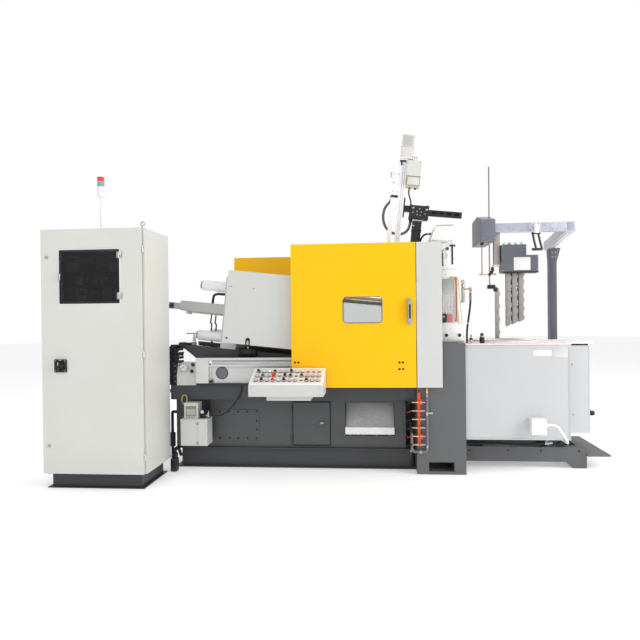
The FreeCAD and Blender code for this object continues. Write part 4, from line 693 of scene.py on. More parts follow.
def route(points: list[tuple], spacing: float) -> list[Vector]:
    """The smooth line that a hose or bent pipe follows.

    Args:
        points: Its control points, in millimetres.
        spacing: The distance between the line's points.

    Returns:
        Evenly spaced points along the line.
    """
    curve = bpy.data.curves.new("route", "CURVE")
    curve.dimensions = "3D"
    spline = curve.splines.new("NURBS")
    spline.points.add(len(points) - 1)
    for held, point in zip(spline.points, points):
        held.co = (*point, 1.0)
    spline.order_u = 3
    spline.use_endpoint_u = True
    spline.resolution_u = 24
    carrier = bpy.data.objects.new("route", curve)
    mesh = bpy.data.meshes.new_from_object(carrier)
    line = [v.co.copy() for v in mesh.vertices]
    bpy.data.objects.remove(carrier)
    bpy.data.curves.remove(curve)
    bpy.data.meshes.remove(mesh)
    even = [line[0]]
    gone = 0.0
    for a, b in zip(line, line[1:]):
        step = (b - a).length
        while step and gone + step >= spacing:
            share = (spacing - gone) / step
            a = a.lerp(b, share)
            even.append(a)
            step = (b - a).length
            gone = 0.0
        gone += step
    if (even[-1] - line[-1]).length < spacing * 0.3:
        even.pop()
    return [*even, line[-1]]


@dataclass
class ControlCabinet:
    """The control cabinet's viewing hatch, main switch, locks and signal lamp."""

    hinge_tall: float = 46
    switch_side: float = 96
    switch_right: float = 146
    switch_up: float = 796
    lock_right: float = 47
    lock_low: float = 205
    lock_high: float = 1595
    lock_radius: float = 12
    lamp_radius: float = 28
    lamp_tall: float = 169
    pole_radius: float = 8.5
    red_tall: float = 40
    teal_tall: float = 38

    def build(self) -> None:
        """Build every piece of the cabinet's furniture."""
        self.switchgear()
        self.hatch()
        self.fittings()
        self.lamp()
        self.back_panel()

    def switchgear(self) -> None:
        """Stand contactors, relays and cable ducts on their rails behind the hatch."""
        low, high = cad("hatch_pane")
        piece = Shape("cabinet_switchgear")
        back = low.y + 150
        piece.block((low.x - 60, back, low.z - 60), (high.x + 60, back + 6, high.z + 60), PLASTIC, 1)
        wide = high.x - low.x
        for row, (base, tall, count) in enumerate(((8, 104, 5), (140, 66, 9), (236, 120, 4))):
            z = low.z + base
            piece.block((low.x, back - 14, z + tall + 8), (high.x, back, z + tall + 24), GEAR, 2)
            step = wide / count
            for i in range(count):
                x = low.x + i * step + 4
                deep = 46 + 14 * ((i * 3 + row) % 4)
                finish = (GEAR, GEAR_PALE, BLACK)[(i + 2 * row) % 3]
                piece.block((x, back - deep, z), (x + step - 9, back, z + tall), finish, 4)
                piece.block((x + 8, back - deep - 4, z + tall * 0.55), (x + step - 17, back - deep + 2,
                    z + tall * 0.85), GEAR, 2)
        piece.rod((low.x + 0.56 * wide, back - 96, low.z + 205), FRONT, 9, 8, RED, 2)
        piece.done()

    def hatch(self) -> None:
        """Build the hatch's gasket, hinges and latch, and a pale bead of painted highlight round it."""
        low, high = cad("hatch_pane")
        piece = Shape("hatch_trim")
        piece.frame_line((low.x, low.z), (high.x, high.z), low.y + 1, 3.0, 5.0, RUBBER)
        # Painted highlight: the near-white bead stands for the light caught by the door's cut edge round the hatch.
        piece.frame_line((low.x - 5, low.z - 5), (high.x + 5, high.z + 5), low.y + 3, 2.6, 7.0, ALUMINIUM)
        for z in (high.z - 40, low.z + 52):
            leaf = self.hinge_tall / 2
            piece.block((high.x - 15, low.y - 6, z - leaf), (high.x + 22, low.y + 2, z + leaf), SCREW, 2)
            piece.rod((high.x + 2, low.y - 7, z - leaf - 3), UP, 5, self.hinge_tall + 6, SCREW)
            piece.screws((high.x - 8, high.x + 14), (low.y - 6,), (z - 13, z + 13), FRONT, 3.2)
        middle = (low.z + high.z) / 2
        piece.block((low.x - 9, low.y - 9, middle - 24), (low.x + 9, low.y + 2, middle + 24), SCREW, 3)
        piece.rod((low.x, low.y - 13, middle), BACK, 6, 5, STEEL, 1)
        piece.done(Body.CABINET)
        for shift in (0.16, 0.84):
            stay = Shape(f"hatch_stay_{int(shift * 100)}")
            z = low.z + (high.z - low.z) * shift
            stay.block((low.x + 20, low.y - 1.5, z - 4), (low.x + 34, low.y + 0.5, z + 4), PLASTIC, 0.5)
            stay.done(Body.CABINET)

    def fittings(self) -> None:
        """Build the rotary main switch and the two quarter-turn locks."""
        low, _ = cad("cabinet_door")
        x, front, z = low.x + self.switch_right, low.y, low.z + self.switch_up
        half = self.switch_side / 2
        piece = Shape("main_switch")
        piece.block((x - half, front - 13, z - half), (x + half, front + 1, z + half), PLASTIC, 7)
        piece.ring((x, front - 13, z), FRONT, 40, 34, 3, PLASTIC)
        piece.turned((x, front - 13, z), FRONT, [(0, 32), (4, 32), (14, 28), (18, 26), (18, 0)], PLASTIC, 32)
        piece.block((x - 10, front - 45, z - 30), (x + 10, front - 28, z + 30), PLASTIC, 6)
        piece.block((x - 22, front - 36, z - 12), (x + 22, front - 28, z + 12), PLASTIC, 4)
        piece.block((x - 9, front - 15, z + 36), (x + 9, front - 12, z + 45), STEEL, 1)
        piece.block((x - 1.5, front - 46, z + 6), (x + 1.5, front - 44.5, z + 28), PALE_PLASTIC, 0.4)
        reach = half - 11
        piece.screws((x - reach, x + reach), (front - 13,), (z - reach, z + reach), FRONT, 4)
        for up in (self.lock_low, self.lock_high):
            at = (low.x + self.lock_right, front, low.z + up)
            piece.ring(at, FRONT, self.lock_radius, 8.5, 7, SCREW)
            piece.rod(at, FRONT, 8.5, 5, STEEL, 1)
            piece.block((at[0] - 6, front - 5.6, at[2] - 1.6), (at[0] + 6, front - 4.6, at[2] + 1.6), BLACK, 0.3)
        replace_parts(piece.done(Body.CABINET), "door_fittings")

    def lamp(self) -> None:
        """Build the signal lamp on its pole."""
        low, high = cad("stack_light")
        x, y = (low.x + high.x) / 2, (low.y + high.y) / 2
        r = self.lamp_radius
        base = high.z - self.lamp_tall
        body = self.lamp_tall - self.red_tall - self.teal_tall
        piece = Shape("signal_lamp")
        piece.turned((x, y, low.z), UP, [(0, 0), (0, 30), (4, 30), (7, 28), (10, 15), (24, 12), (26, 0)],
            PALE_PLASTIC, 32)
        piece.rod((x, y, low.z + 20), UP, self.pole_radius, base - low.z - 16, PALE_PLASTIC)
        piece.turned((x, y, base), UP, [(0, 0), (0, 13), (8, 15), (14, 24), (20, r), (body - 3, r), (body, r - 2),
            (body, 0)], PALE_PLASTIC, 36)
        for start, tall, lens in ((base + body, self.teal_tall, TEAL_LENS), (base + body + self.teal_tall,
                self.red_tall - 6, RED_LENS)):
            outline = [(0, 0), (0, r - 1)]
            ribs = 6
            for i in range(ribs):
                outline += [(tall * (i + 0.15) / ribs, r - 1.8), (tall * (i + 0.5) / ribs, r - 0.4),
                    (tall * (i + 0.85) / ribs, r - 1.8)]
            outline += [(tall, r - 1), (tall, 0)]
            piece.turned((x, y, start), UP, outline, lens, 36)
            piece.ring((x, y, start - 1), UP, r, r - 4, 2.5, PALE_PLASTIC, 36)
        piece.turned((x, y, high.z - 7), UP, [(0, 0), (0, r), (3, r - 1), (6, r - 6), (7, 0)], RED_LENS, 36)
        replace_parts(piece.done(), "stack_light")

    def back_panel(self) -> None:
        """Screw on the back panel and cut its air slots."""
        low, high = cad("control_cabinet")
        piece = Shape("cabinet_back_screws")
        piece.screws((low.x + 30, high.x - 30), (high.y,), spread(low.z + 60, high.z - 60, 7), BACK, 6)
        for i in range(10):
            z = high.z - 190 - i * 14
            piece.block((low.x + 260, high.y - 0.5, z), (high.x - 260, high.y + 3, z + 6), BLACK, 1.2)
        piece.done()


@dataclass
class Bed:
    """The bed's covers, doors and column, with their screws and locks."""

    cover_left: float = -1907
    cover_right: float = -1484
    cover_low: float = 222
    cover_high: float = 475
    bolt_in: float = 16
    lock_right: float = 256
    leaf_in: float = 12
    leaf_face: float = -271
    lock_up: float = 178
    vent_x: float = -837

    def build(self) -> None:
        """Build the bed's small pieces."""
        self.cover_bolts()
        self.door_lock()
        self.chute()
        self.column()
        self.service_lines()

    def service_lines(self) -> None:
        """Stand the supply's connection block, riser and couplings between the cabinet and the bed."""
        piece = Shape("service_lines")
        piece.block((-2174, -470, 1), (-2122, -404, 108), BLACK, 8)
        piece.block((-2168, -478, 30), (-2128, -466, 84), PLASTIC, 5)
        piece.rod((-2142, -440, 106), UP, 21, 30, RUBBER, 3, 20)
        piece.ring((-2142, -440, 134), UP, 24, 15, 16, DARK_STEEL, 28)
        piece.pipe(route([(-2142, -440, 140), (-2142, -440, 168), (-2140, -420, 186), (-2140, -380, 180),
            (-2140, -340, 150), (-2140, -316, 120), (-2140, -300, 100)], 6), 13, RUBBER)
        piece.rod((-2245, -200, 1), UP, 13, 300, DARK_STEEL, 3)
        piece.block((-2266, -222, 150), (-2224, -178, 270), BLACK, 6)
        piece.pipe(route([(-2245, -200, 296), (-2245, -200, 400), (-2245, -200, 446), (-2236, -200, 446),
            (-2200, -200, 446), (-2184, -200, 446)], 6), 13, RUBBER)
        piece.rod((-2184, -330, 643), LEFT, 22, 26, GREY_STEEL, 4, 24)
        piece.rod((-2210, -330, 643), LEFT, 14, 10, SCREW, 2, 6)
        piece.done()

    def cover_bolts(self) -> None:
        """Bolt the cover plate on."""
        low, _ = cad("bed_front_panel")
        piece = Shape("bed_cover_bolts")
        left, right = self.cover_left + self.bolt_in, self.cover_right - self.bolt_in
        base, top = self.cover_low + self.bolt_in, self.cover_high - self.bolt_in
        piece.screws(spread(left, right, 6), (low.y,), (base, top), FRONT, 7, DARK_STEEL)
        piece.screws((left, right), (low.y,), spread(base, top, 4)[1:3], FRONT, 7, DARK_STEEL)
        for z in (511, 490):
            piece.rod((self.vent_x, low.y + 18, z), FRONT, 8, 3, PLASTIC, 1)
        piece.done()
        edge = Shape("bed_cover_rim")
        edge.frame_line((self.cover_left, self.cover_low), (self.cover_right, self.cover_high), low.y + 7, 3, 8, BED)
        edge.done()

    def door_lock(self) -> None:
        """Build the access door's lock and pull, and a dark rim of painted shade for the gap round the door."""
        low, high = cad("access_door")
        piece = Shape("access_door_lock")
        x, z = low.x + self.lock_right, low.z + self.lock_up
        face = self.leaf_face
        piece.ring((x, face, z), FRONT, 18, 11, 7, SCREW)
        piece.rod((x, face, z), FRONT, 12, 12, SCREW, 2)
        piece.block((x - 4, face - 23, z - 6), (x + 16, face - 10, z + 18), SCREW, 4)
        piece.done(Body.ACCESS)
        rim = Shape("access_door_rim")
        # Painted shade: the black bead round the door stands for the dark gap round its edge.
        rim.frame_line((low.x + self.leaf_in + 3, low.z + 3), (high.x - 3, high.z - 3), face + 1, 3.2, 6, RUBBER)
        rim.done(Body.ACCESS)

    def chute(self) -> None:
        """Edge the casting chute's mouth and lip."""
        low, high = cad("discharge_chute")
        piece = Shape("chute_edge")
        piece.block((low.x, low.y - 1, low.z - 1), (high.x, low.y + 5, low.z + 9), DARK_STEEL, 2)
        piece.screws(spread(low.x + 40, high.x - 40, 4), (low.y - 1,), (low.z + 4,), FRONT, 3.5)
        piece.done()

    def column(self) -> None:
        """Screw the column's cover plates down."""
        low, high = cad("column")
        piece = Shape("column_bolts")
        piece.screws((low.x + 16, high.x - 16), (high.y,), (high.z - 60, high.z - 330, high.z - 600), BACK, 7,
            DARK_STEEL)
        for y in (low.y + 60, high.y - 60):
            for x in (low.x + 40, high.x - 40):
                piece.bolt((x, y, high.z), UP, 9, SCREW)
        piece.done()


@dataclass
class Clamp:
    """The tilted closing side: covers, caps, ram guard and hose fittings, in its own frame."""

    origin: tuple[float, float, float] = (-380.0, 0.0, 1146.0)
    lean: float = 6
    rear: float = -1406
    tie_half: float = 212.5
    cap_length: float = 216
    guard_left: float = -1842
    guard_half: float = 62
    valve: tuple[float, float] = (-2027.0, -262.0)

    @property
    def place(self) -> Matrix:
        """Where the tilted frame lies in the machine's frame."""
        return Matrix.Translation(self.origin) @ Matrix.Rotation(math.radians(self.lean), 4, "Y")

    def build(self) -> None:
        """Build the closing side's small pieces."""
        self.cover_plugs()
        self.caps()
        self.ram_guard()
        self.hand_valve()
        self.limit_switch()

    def cover_plugs(self) -> None:
        """Plug the holes of the toggle covers and edge them, and draw the keyhole with a dark arch of painted shade.
        """
        low, high = cad("toggle_covers")
        piece = Shape("toggle_cover_plugs", self.place)
        for face, way, sign in ((low.y, FRONT, -1), (high.y, BACK, 1)):
            for x, z in ((-1307, 215), (-1124, 217), (-1309, -200)):
                piece.ring((x, face, z), way, 6 if z > 0 else 13, 3 if z > 0 else 7, 2.5, SCREW)
                piece.rod((x, face, z), way, 4 if z > 0 else 8, 1.5, DARK_STEEL, 0.4)
            for x, z in ((-1250, 60), (-760, 300), (-760, -190)):
                piece.screw((x, face, z), way, 3.5)
            # The keyhole: the dark arch is painted shade inside the slot, with a plated inner plate on it.
            for half, foot, high_z, tall, finish in ((19, -240, -201, 1.4, DARK_STEEL), (8, -238, -214, 2.6, SCREW)):
                arch = [(-1134 + half * math.cos(math.pi * i / 12),
                    high_z + half * math.sin(math.pi * i / 12)) for i in range(13)]
                near, far = sorted((face - sign * 0.5, face + sign * tall))
                piece.slab([(-1134 - half, foot), (-1134 + half, foot), *arch], Plane.XZ, near, far, finish, 0.6)
        piece.done()

    def caps(self) -> None:
        """Finish the tie-bar covers' ends with a rolled rim and an end plate."""
        piece = Shape("tie_bar_cap_ends", self.place)
        for y in (-self.tie_half, self.tie_half):
            for z in (-self.tie_half, self.tie_half):
                end = self.rear - self.cap_length
                piece.turned((end, y, z), LEFT, [(0, 0), (0, 33), (1.5, 33), (2.5, 30), (2.5, 0)], WHITE, 32)
                for turn in range(3):
                    angle = math.radians(90 + 120 * turn)
                    piece.screw((end - 2, y + 22 * math.cos(angle), z + 22 * math.sin(angle)), LEFT, 3.5)
        piece.done()

    def ram_guard(self) -> None:
        """Build the closing ram guard's sensor, rails and hose fittings."""
        piece = Shape("ram_guard_sensor", self.place)
        left, half = self.guard_left, self.guard_half
        piece.block((left - 106, -half + 10, -15), (left - 60, half - 10, 40), CARRIER, 3)
        piece.block((left - 58, -half + 10, -15), (left + 2, half - 10, 40), WHITE, 2)
        piece.rod((left - 80, -half + 9, 12), FRONT, 9, 8, PLASTIC)
        piece.screws((left + 30, left + 130, left + 330), (-half - 0.2,), (52,), FRONT)
        piece.block((left + 12, -half - 3, -22), (left + 90, -half + 1, -10), SCREW, 1)
        piece.done()

    def hand_valve(self) -> None:
        """Build the lubricating hand valve at the way's left end."""
        x, y = self.valve
        piece = Shape("way_hand_valve")
        piece.block((x - 17, y - 18, 1014), (x + 17, y + 18, 1046), BLUE, 4)
        piece.rod((x, y, 1050), UP, 13, 40, SCREW, 2, 6)
        piece.rod((x, y, 1088), UP, 8, 34, STEEL)
        piece.rod((x - 66, y, 1117), RIGHT, 5.5, 84, SCREW)
        piece.rod((x, y - 30, 1117), BACK, 5.5, 60, SCREW)
        for dx in (-74, -46, 42):
            piece.rod((x + dx, y, 1028), RIGHT, 14, 24, PLASTIC, 3, 6)
        piece.rod((x - 112, y, 1028), RIGHT, 17, 44, PLASTIC, 5, 10)
        piece.block((x - 132, y - 16, 1006), (x - 96, y + 16, 1042), BLACK, 8)
        piece.pipe(route([(x + 60, y, 1028), (x + 110, y, 1030), (x + 150, y + 20, 1012), (x + 190, y + 30, 994)], 6),
            8, RUBBER)
        piece.rod((x, y, 1000), UP, 15, 14, PLASTIC, 2, 6)
        piece.done()

    def limit_switch(self) -> None:
        """Hang the dark switch box under the toggle cover."""
        piece = Shape("toggle_limit_switch")
        piece.block((-1633, -330, 925), (-1489, -262, 986), DARK_STEEL, 5)
        piece.block((-1600, -334, 940), (-1522, -329, 974), PLASTIC, 2)
        piece.rod((-1560, -296, 984), UP, 9, 22, SCREW)
        piece.done()


@dataclass
class Sprayer:
    """The die sprayer's mast, drive, junction box and slotted arm, in the tilted frame."""

    place: Matrix
    mast_left: float = -38
    mast_side: float = 48
    mast_low: float = 560
    mast_high: float = 1420
    front: float = -121
    drive_left: float = -52
    drive_right: float = 54
    drive_tall: float = 198
    drive_half: float = 48
    hole_pitch: float = 10.5
    block_left: float = 66
    block_right: float = 222
    block_low: float = 930
    block_high: float = 1042
    block_front: float = -116

    def build(self) -> None:
        """Build the sprayer's details."""
        self.slots()
        self.drive()
        self.box()
        self.head()
        self.loop()

    def slots(self) -> None:
        """Run the mast's grooves and fit the carriage's ends."""
        piece = Shape("mast_details", self.place)
        for shift in (15, 31):
            x = self.mast_left + shift
            piece.block((x, self.front - 0.8, self.mast_low + 4), (x + 3, self.front + 2, self.mast_high - 28), SEAM,
                0.4)
        x = self.mast_left
        piece.block((x - 16, self.front - 8, self.mast_high - 26), (x + self.mast_side - 8, self.front + 6,
            self.mast_high - 12), BLACK, 3)
        piece.block((x - 6, self.front - 7, self.mast_high - 56), (x + 8, self.front + 3, self.mast_high - 26), BLACK,
            2)
        piece.block((x - 62, self.front - 5, 1092), (x - 6, self.front + 20, 1112), BLACK, 3)
        piece.screws((x - 52, x - 14), (self.front,), (1140, 1288), FRONT)
        piece.rod((x - 50, self.front - 3, 1214), FRONT, 4, 5, DARK_STEEL)
        piece.pipe([(x - 68, self.front + 8, 1262), (x - 76, self.front + 8, 1262), (x - 78, self.front + 8, 1300),
            (x - 68, self.front + 8, 1306)], 3.2, OLIVE)
        piece.screws((x + 24,), (self.front - 1,), range(640, 1080, 110), FRONT, 3.5)
        piece.done()

    def drive(self) -> None:
        """Perforate the drive housing's upper part, with its lid seam and screws."""
        piece = Shape("drive_perforation", self.place)
        top = self.mast_high + self.drive_tall
        middle = self.mast_side / 2 - 121.0
        face = middle - self.drive_half
        across = int((self.drive_right - self.drive_left - 16) / self.hole_pitch)
        for row in range(9):
            shift = 0.5 * (row % 2)
            for column in range(across - row % 2):
                x = self.drive_left + 12 + (column + shift) * self.hole_pitch
                piece.turned((x, face, top - 14 - row * self.hole_pitch * 0.9), FRONT,
                    [(0, 3.6), (0.4, 3.6), (0.4, 0)], VENT, 6)
        piece.block((self.drive_left - 0.6, face - 0.2, self.mast_high + 2), (self.drive_right + 0.6,
            middle + self.drive_half + 0.6, top + 0.6), PALE_BOX, 1.5)
        piece.screws((self.drive_left + 8, self.drive_right - 8), (face,), (self.mast_high + 14,), FRONT, 3.5)
        piece.block((self.drive_left - 0.5, face - 0.6, self.mast_high + 94), (self.drive_right + 0.5, face + 1,
            self.mast_high + 96), VENT, 0.2)
        piece.done()

    def box(self) -> None:
        """Fit the junction box's lid rim, screws and glands, and paint shade on its lower part."""
        piece = Shape("junction_box_details", self.place)
        left, right = self.mast_left + self.mast_side + 1, 128.0
        face, low, high = self.front - 30, 1280.0, 1404.0
        piece.block((left, face - 2, high - 8), (right + 1, face + 6, high + 1), PALE_BOX, 1.5)
        piece.block((left, face - 2, low - 4), (right + 1, face + 6, low + 5), PALE_BOX, 1.5)
        piece.screws((left + 12, right - 12), (face,), (low + 16, high - 18), FRONT, 4)
        # Painted shade: a darker block on the box's lower part, which is seen from below, with a pale panel over its
        # middle.
        piece.block((left + 2, face - 1, 1195), (right - 2, face + 2, low - 6), SEAL, 1.5)
        piece.block((left + 10, face - 1.6, 1201), (right - 8, face + 2, low - 14), PALE_BOX, 1.5)
        eye = [Vector(((left + right) / 2 + 19 * math.cos(math.tau * i / 24), self.front + 10,
            high + 19 + 19 * math.sin(math.tau * i / 24))) for i in range(24)]
        piece.pipe(eye, 4, SCREW, 8, True)
        piece.rod((left + 36, self.front + 40, 1192), DOWN, 12, 26, BRASS, 2, 6)
        piece.rod((left + 84, self.front + 44, 1192), DOWN, 9, 16, PLASTIC, 2, 12)
        piece.done()

    def head(self) -> None:
        """Bolt the black clamp block and collar the post, and fill the arm's slots with painted shade."""
        piece = Shape("sprayer_block_details", self.place)
        wide, tall = self.block_right - self.block_left, self.block_high - self.block_low
        face = self.block_front
        for u, v in ((0.16, 0.80), (0.90, 0.72)):
            at = (self.block_left + u * wide, face, self.block_low + v * tall)
            piece.rod(at, FRONT, 10, 6, SCREW, 2)
            piece.screw((at[0], face - 6, at[2]), FRONT, 7)
        for u, v in ((0.52, 0.76), (0.40, 0.55), (0.62, 0.52), (0.17, 0.46), (0.82, 0.40), (0.40, 0.30),
                (0.58, 0.26)):
            piece.screw((self.block_left + u * wide, face, self.block_low + v * tall), FRONT, 5.5)
        for x in (self.block_left - 4, self.block_right - 26):
            piece.block((x, face - 8, self.block_low - 4), (x + 30, face + 60, self.block_low + 22), BLACK, 6)
            piece.block((x, face - 8, self.block_high - 24), (x + 30, face + 60, self.block_high + 3), BLACK, 6)
        piece.block((94, -106, 912), (182, -18, 926), SCREW, 3)
        piece.block((96, -104, 830), (180, -20, 844), DARK_STEEL, 3)
        piece.rod((110, -106, 870), FRONT, 8, 16, SCREW, 2, 6)
        # Painted shade: a dark block behind the arm's slots stands for the shade inside the arm.
        piece.block((236, -66, 976), (492, -58, 1009), DARK_STEEL, 2)
        piece.block((224, -88, 966), (502, -84, 972), DARK_STEEL, 1)
        piece.block((224, -88, 1011), (502, -84, 1017), DARK_STEEL, 1)
        piece.done()

    def loop(self) -> None:
        """Build the corrugated hose that loops beside the mast."""
        points = [(-92, -88, 1107.7), (-92, -88, 1068), (-140, -76, 1020), (-154, -66, 945), (-138, -58, 872),
            (-96, -58, 818), (-32, -58, 793), (28, -58, 800), (70, -58, 836), (83, -58, 890), (83, -58, 929.7)]
        line = route(points, 3.0)
        piece = Shape("sprayer_loop_hose", self.place)
        piece.pipe(line, [12.0 if i % 2 else 10.2 for i in range(len(line))], GREY_RUBBER, 14)
        for end in (line[0], line[-1]):
            piece.turned(end, DOWN, [(0, 0), (0, 15), (10, 15), (13, 13), (26, 13), (28, 11), (28, 0)], PLASTIC, 12)
        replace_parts(piece.done(), "sprayer_loop")


@dataclass
class Guards:
    """The sliding door's window, handle and screws, and the rail behind it."""

    window_low: tuple[float, float] = (-760.0, 1192.0)
    window_high: tuple[float, float] = (-451.0, 1399.0)
    window_round: float = 30
    door_front: float = -508
    web: float = -435
    cap_long: float = 104
    grommet: tuple[float, float] = (-1746.0, 799.0)
    grommet_radius: float = 47

    def build(self) -> None:
        """Build the guards' details."""
        self.window()
        self.handle()
        self.track()
        self.rear()

    def window(self) -> None:
        """Line the window and fit the door's black screws."""
        front = self.door_front
        piece = Shape("door_window_seal")
        piece.frame_line(self.window_low, self.window_high, front + 1, 3.0, self.window_round, SEAL)
        piece.done(Body.DOOR)
        screws = Shape("door_screws")
        for x, z in ((-1140, 888), (-1113, 888), (-323, 885), (-296, 885), (-323, 834), (-296, 834)):
            screws.rod((x, front + 0.5, z), FRONT, 8.5, 4, PLASTIC, 1.5)
            screws.ring((x, front - 3, z), FRONT, 6, 3, 1.4, DARK_STEEL)
        screws.done(Body.DOOR)

    def handle(self) -> None:
        """Build the door's bow handle."""
        low, high = cad("safety_door_handle")
        piece = Shape("door_handle")
        piece.block((low.x, low.y + 18, low.z), (high.x, high.y, low.z + 36), HANDLE, 6)
        piece.block((low.x, low.y + 18, high.z - 36), (high.x, high.y, high.z), HANDLE, 6)
        x0, x1 = low.x + 3, high.x - 3
        bow = [(high.y - 6, low.z + 4), (low.y + 2, low.z + 26), (low.y, low.z + 40), (low.y, high.z - 40),
            (low.y + 2, high.z - 26), (high.y - 6, high.z - 4), (high.y - 18, high.z - 12), (low.y + 13, high.z - 44),
            (low.y + 13, low.z + 44), (high.y - 18, low.z + 12)]
        piece.slab(bow, Plane.YZ, x0, x1, HANDLE, 2.5)
        piece.block((x0 + 7, low.y - 0.8, low.z + 46), (x1 - 7, low.y + 6, high.z - 46), PLASTIC, 2)
        piece.screws(((low.x + high.x) / 2,), (low.y + 18,), (low.z + 12, high.z - 12), FRONT, 6)
        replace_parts(piece.done(Body.DOOR), "safety_door_handle")

    def track(self) -> None:
        """Build the rail panel's grommet, lever, strip and end block, and a black strip of painted shadow below it.
        """
        low, high = cad("door_track")
        web = self.web
        piece = Shape("track_details")
        x, z = self.grommet
        piece.ring((x, web, z), FRONT, self.grommet_radius + 4, self.grommet_radius - 2, 4, RUBBER, 40)
        piece.turned((x, web, z), FRONT, [(0, 0), (0, self.grommet_radius), (3, self.grommet_radius),
            (4, self.grommet_radius - 3), (3.4, 0)], GROMMET, 40)
        piece.screws((x - 72, x + 62), (web,), (z - 50,), FRONT)
        piece.block((low.x + self.cap_long + 6, web - 3, 874), (high.x - 4, web + 1, 880), STEEL, 1)
        piece.block((low.x + self.cap_long + 4, web - 14, 851), (low.x + self.cap_long + 24, web + 1, 922), ALUMINIUM,
            3)
        piece.rod((low.x + self.cap_long + 14, web - 14, 872), FRONT, 6, 8, DARK_STEEL)
        piece.rod((low.x + self.cap_long + 14, web - 22, 742), UP, 4, 100, SCREW)
        piece.block((low.x + self.cap_long + 4, web - 24, 724), (low.x + self.cap_long + 34, web + 1, 744), BLACK, 4)
        piece.screws((low.x + 16,), (-459,), (760, 800, 880), FRONT, 4)
        # Painted shadow: a black strip fills the gap between the track's foot and the beam, where shade falls.
        piece.block((low.x + 6, -452, 699), (high.x - 4, -440, 717), BLACK, 1)
        piece.block((low.x + self.cap_long + 30, web - 9, 894), (high.x - 4, web + 1, 898), SEAM, 1)
        piece.done()

    def rear(self) -> None:
        """Screw the fixed and rear guards on."""
        low, high = cad("fixed_guard")
        piece = Shape("guard_screws")
        piece.screws((high.x - 1,), (low.y + 30,), spread(low.z + 60, high.z - 60, 4), RIGHT, 6)
        low, high = cad("rear_guard")
        piece.screws(spread(low.x + 60, high.x - 60, 8), (high.y,), (low.z + 30, high.z - 30), BACK, 7)
        piece.frame_line((-810, 1182), (-442, 1426), high.y + 1, 4, 26, RUBBER)
        piece.done()


class Control(Enum):
    """The kinds of control on the desk, each with its one-letter key."""

    SELECTOR = "s"
    RING = "o"
    BUTTON = "k"
    TEAL_LAMP = "t"
    WHITE_LAMP = "w"
    RED_BUTTON = "r"
    GREEN_BUTTON = "g"
    FLAT = "f"
    STOP = "X"


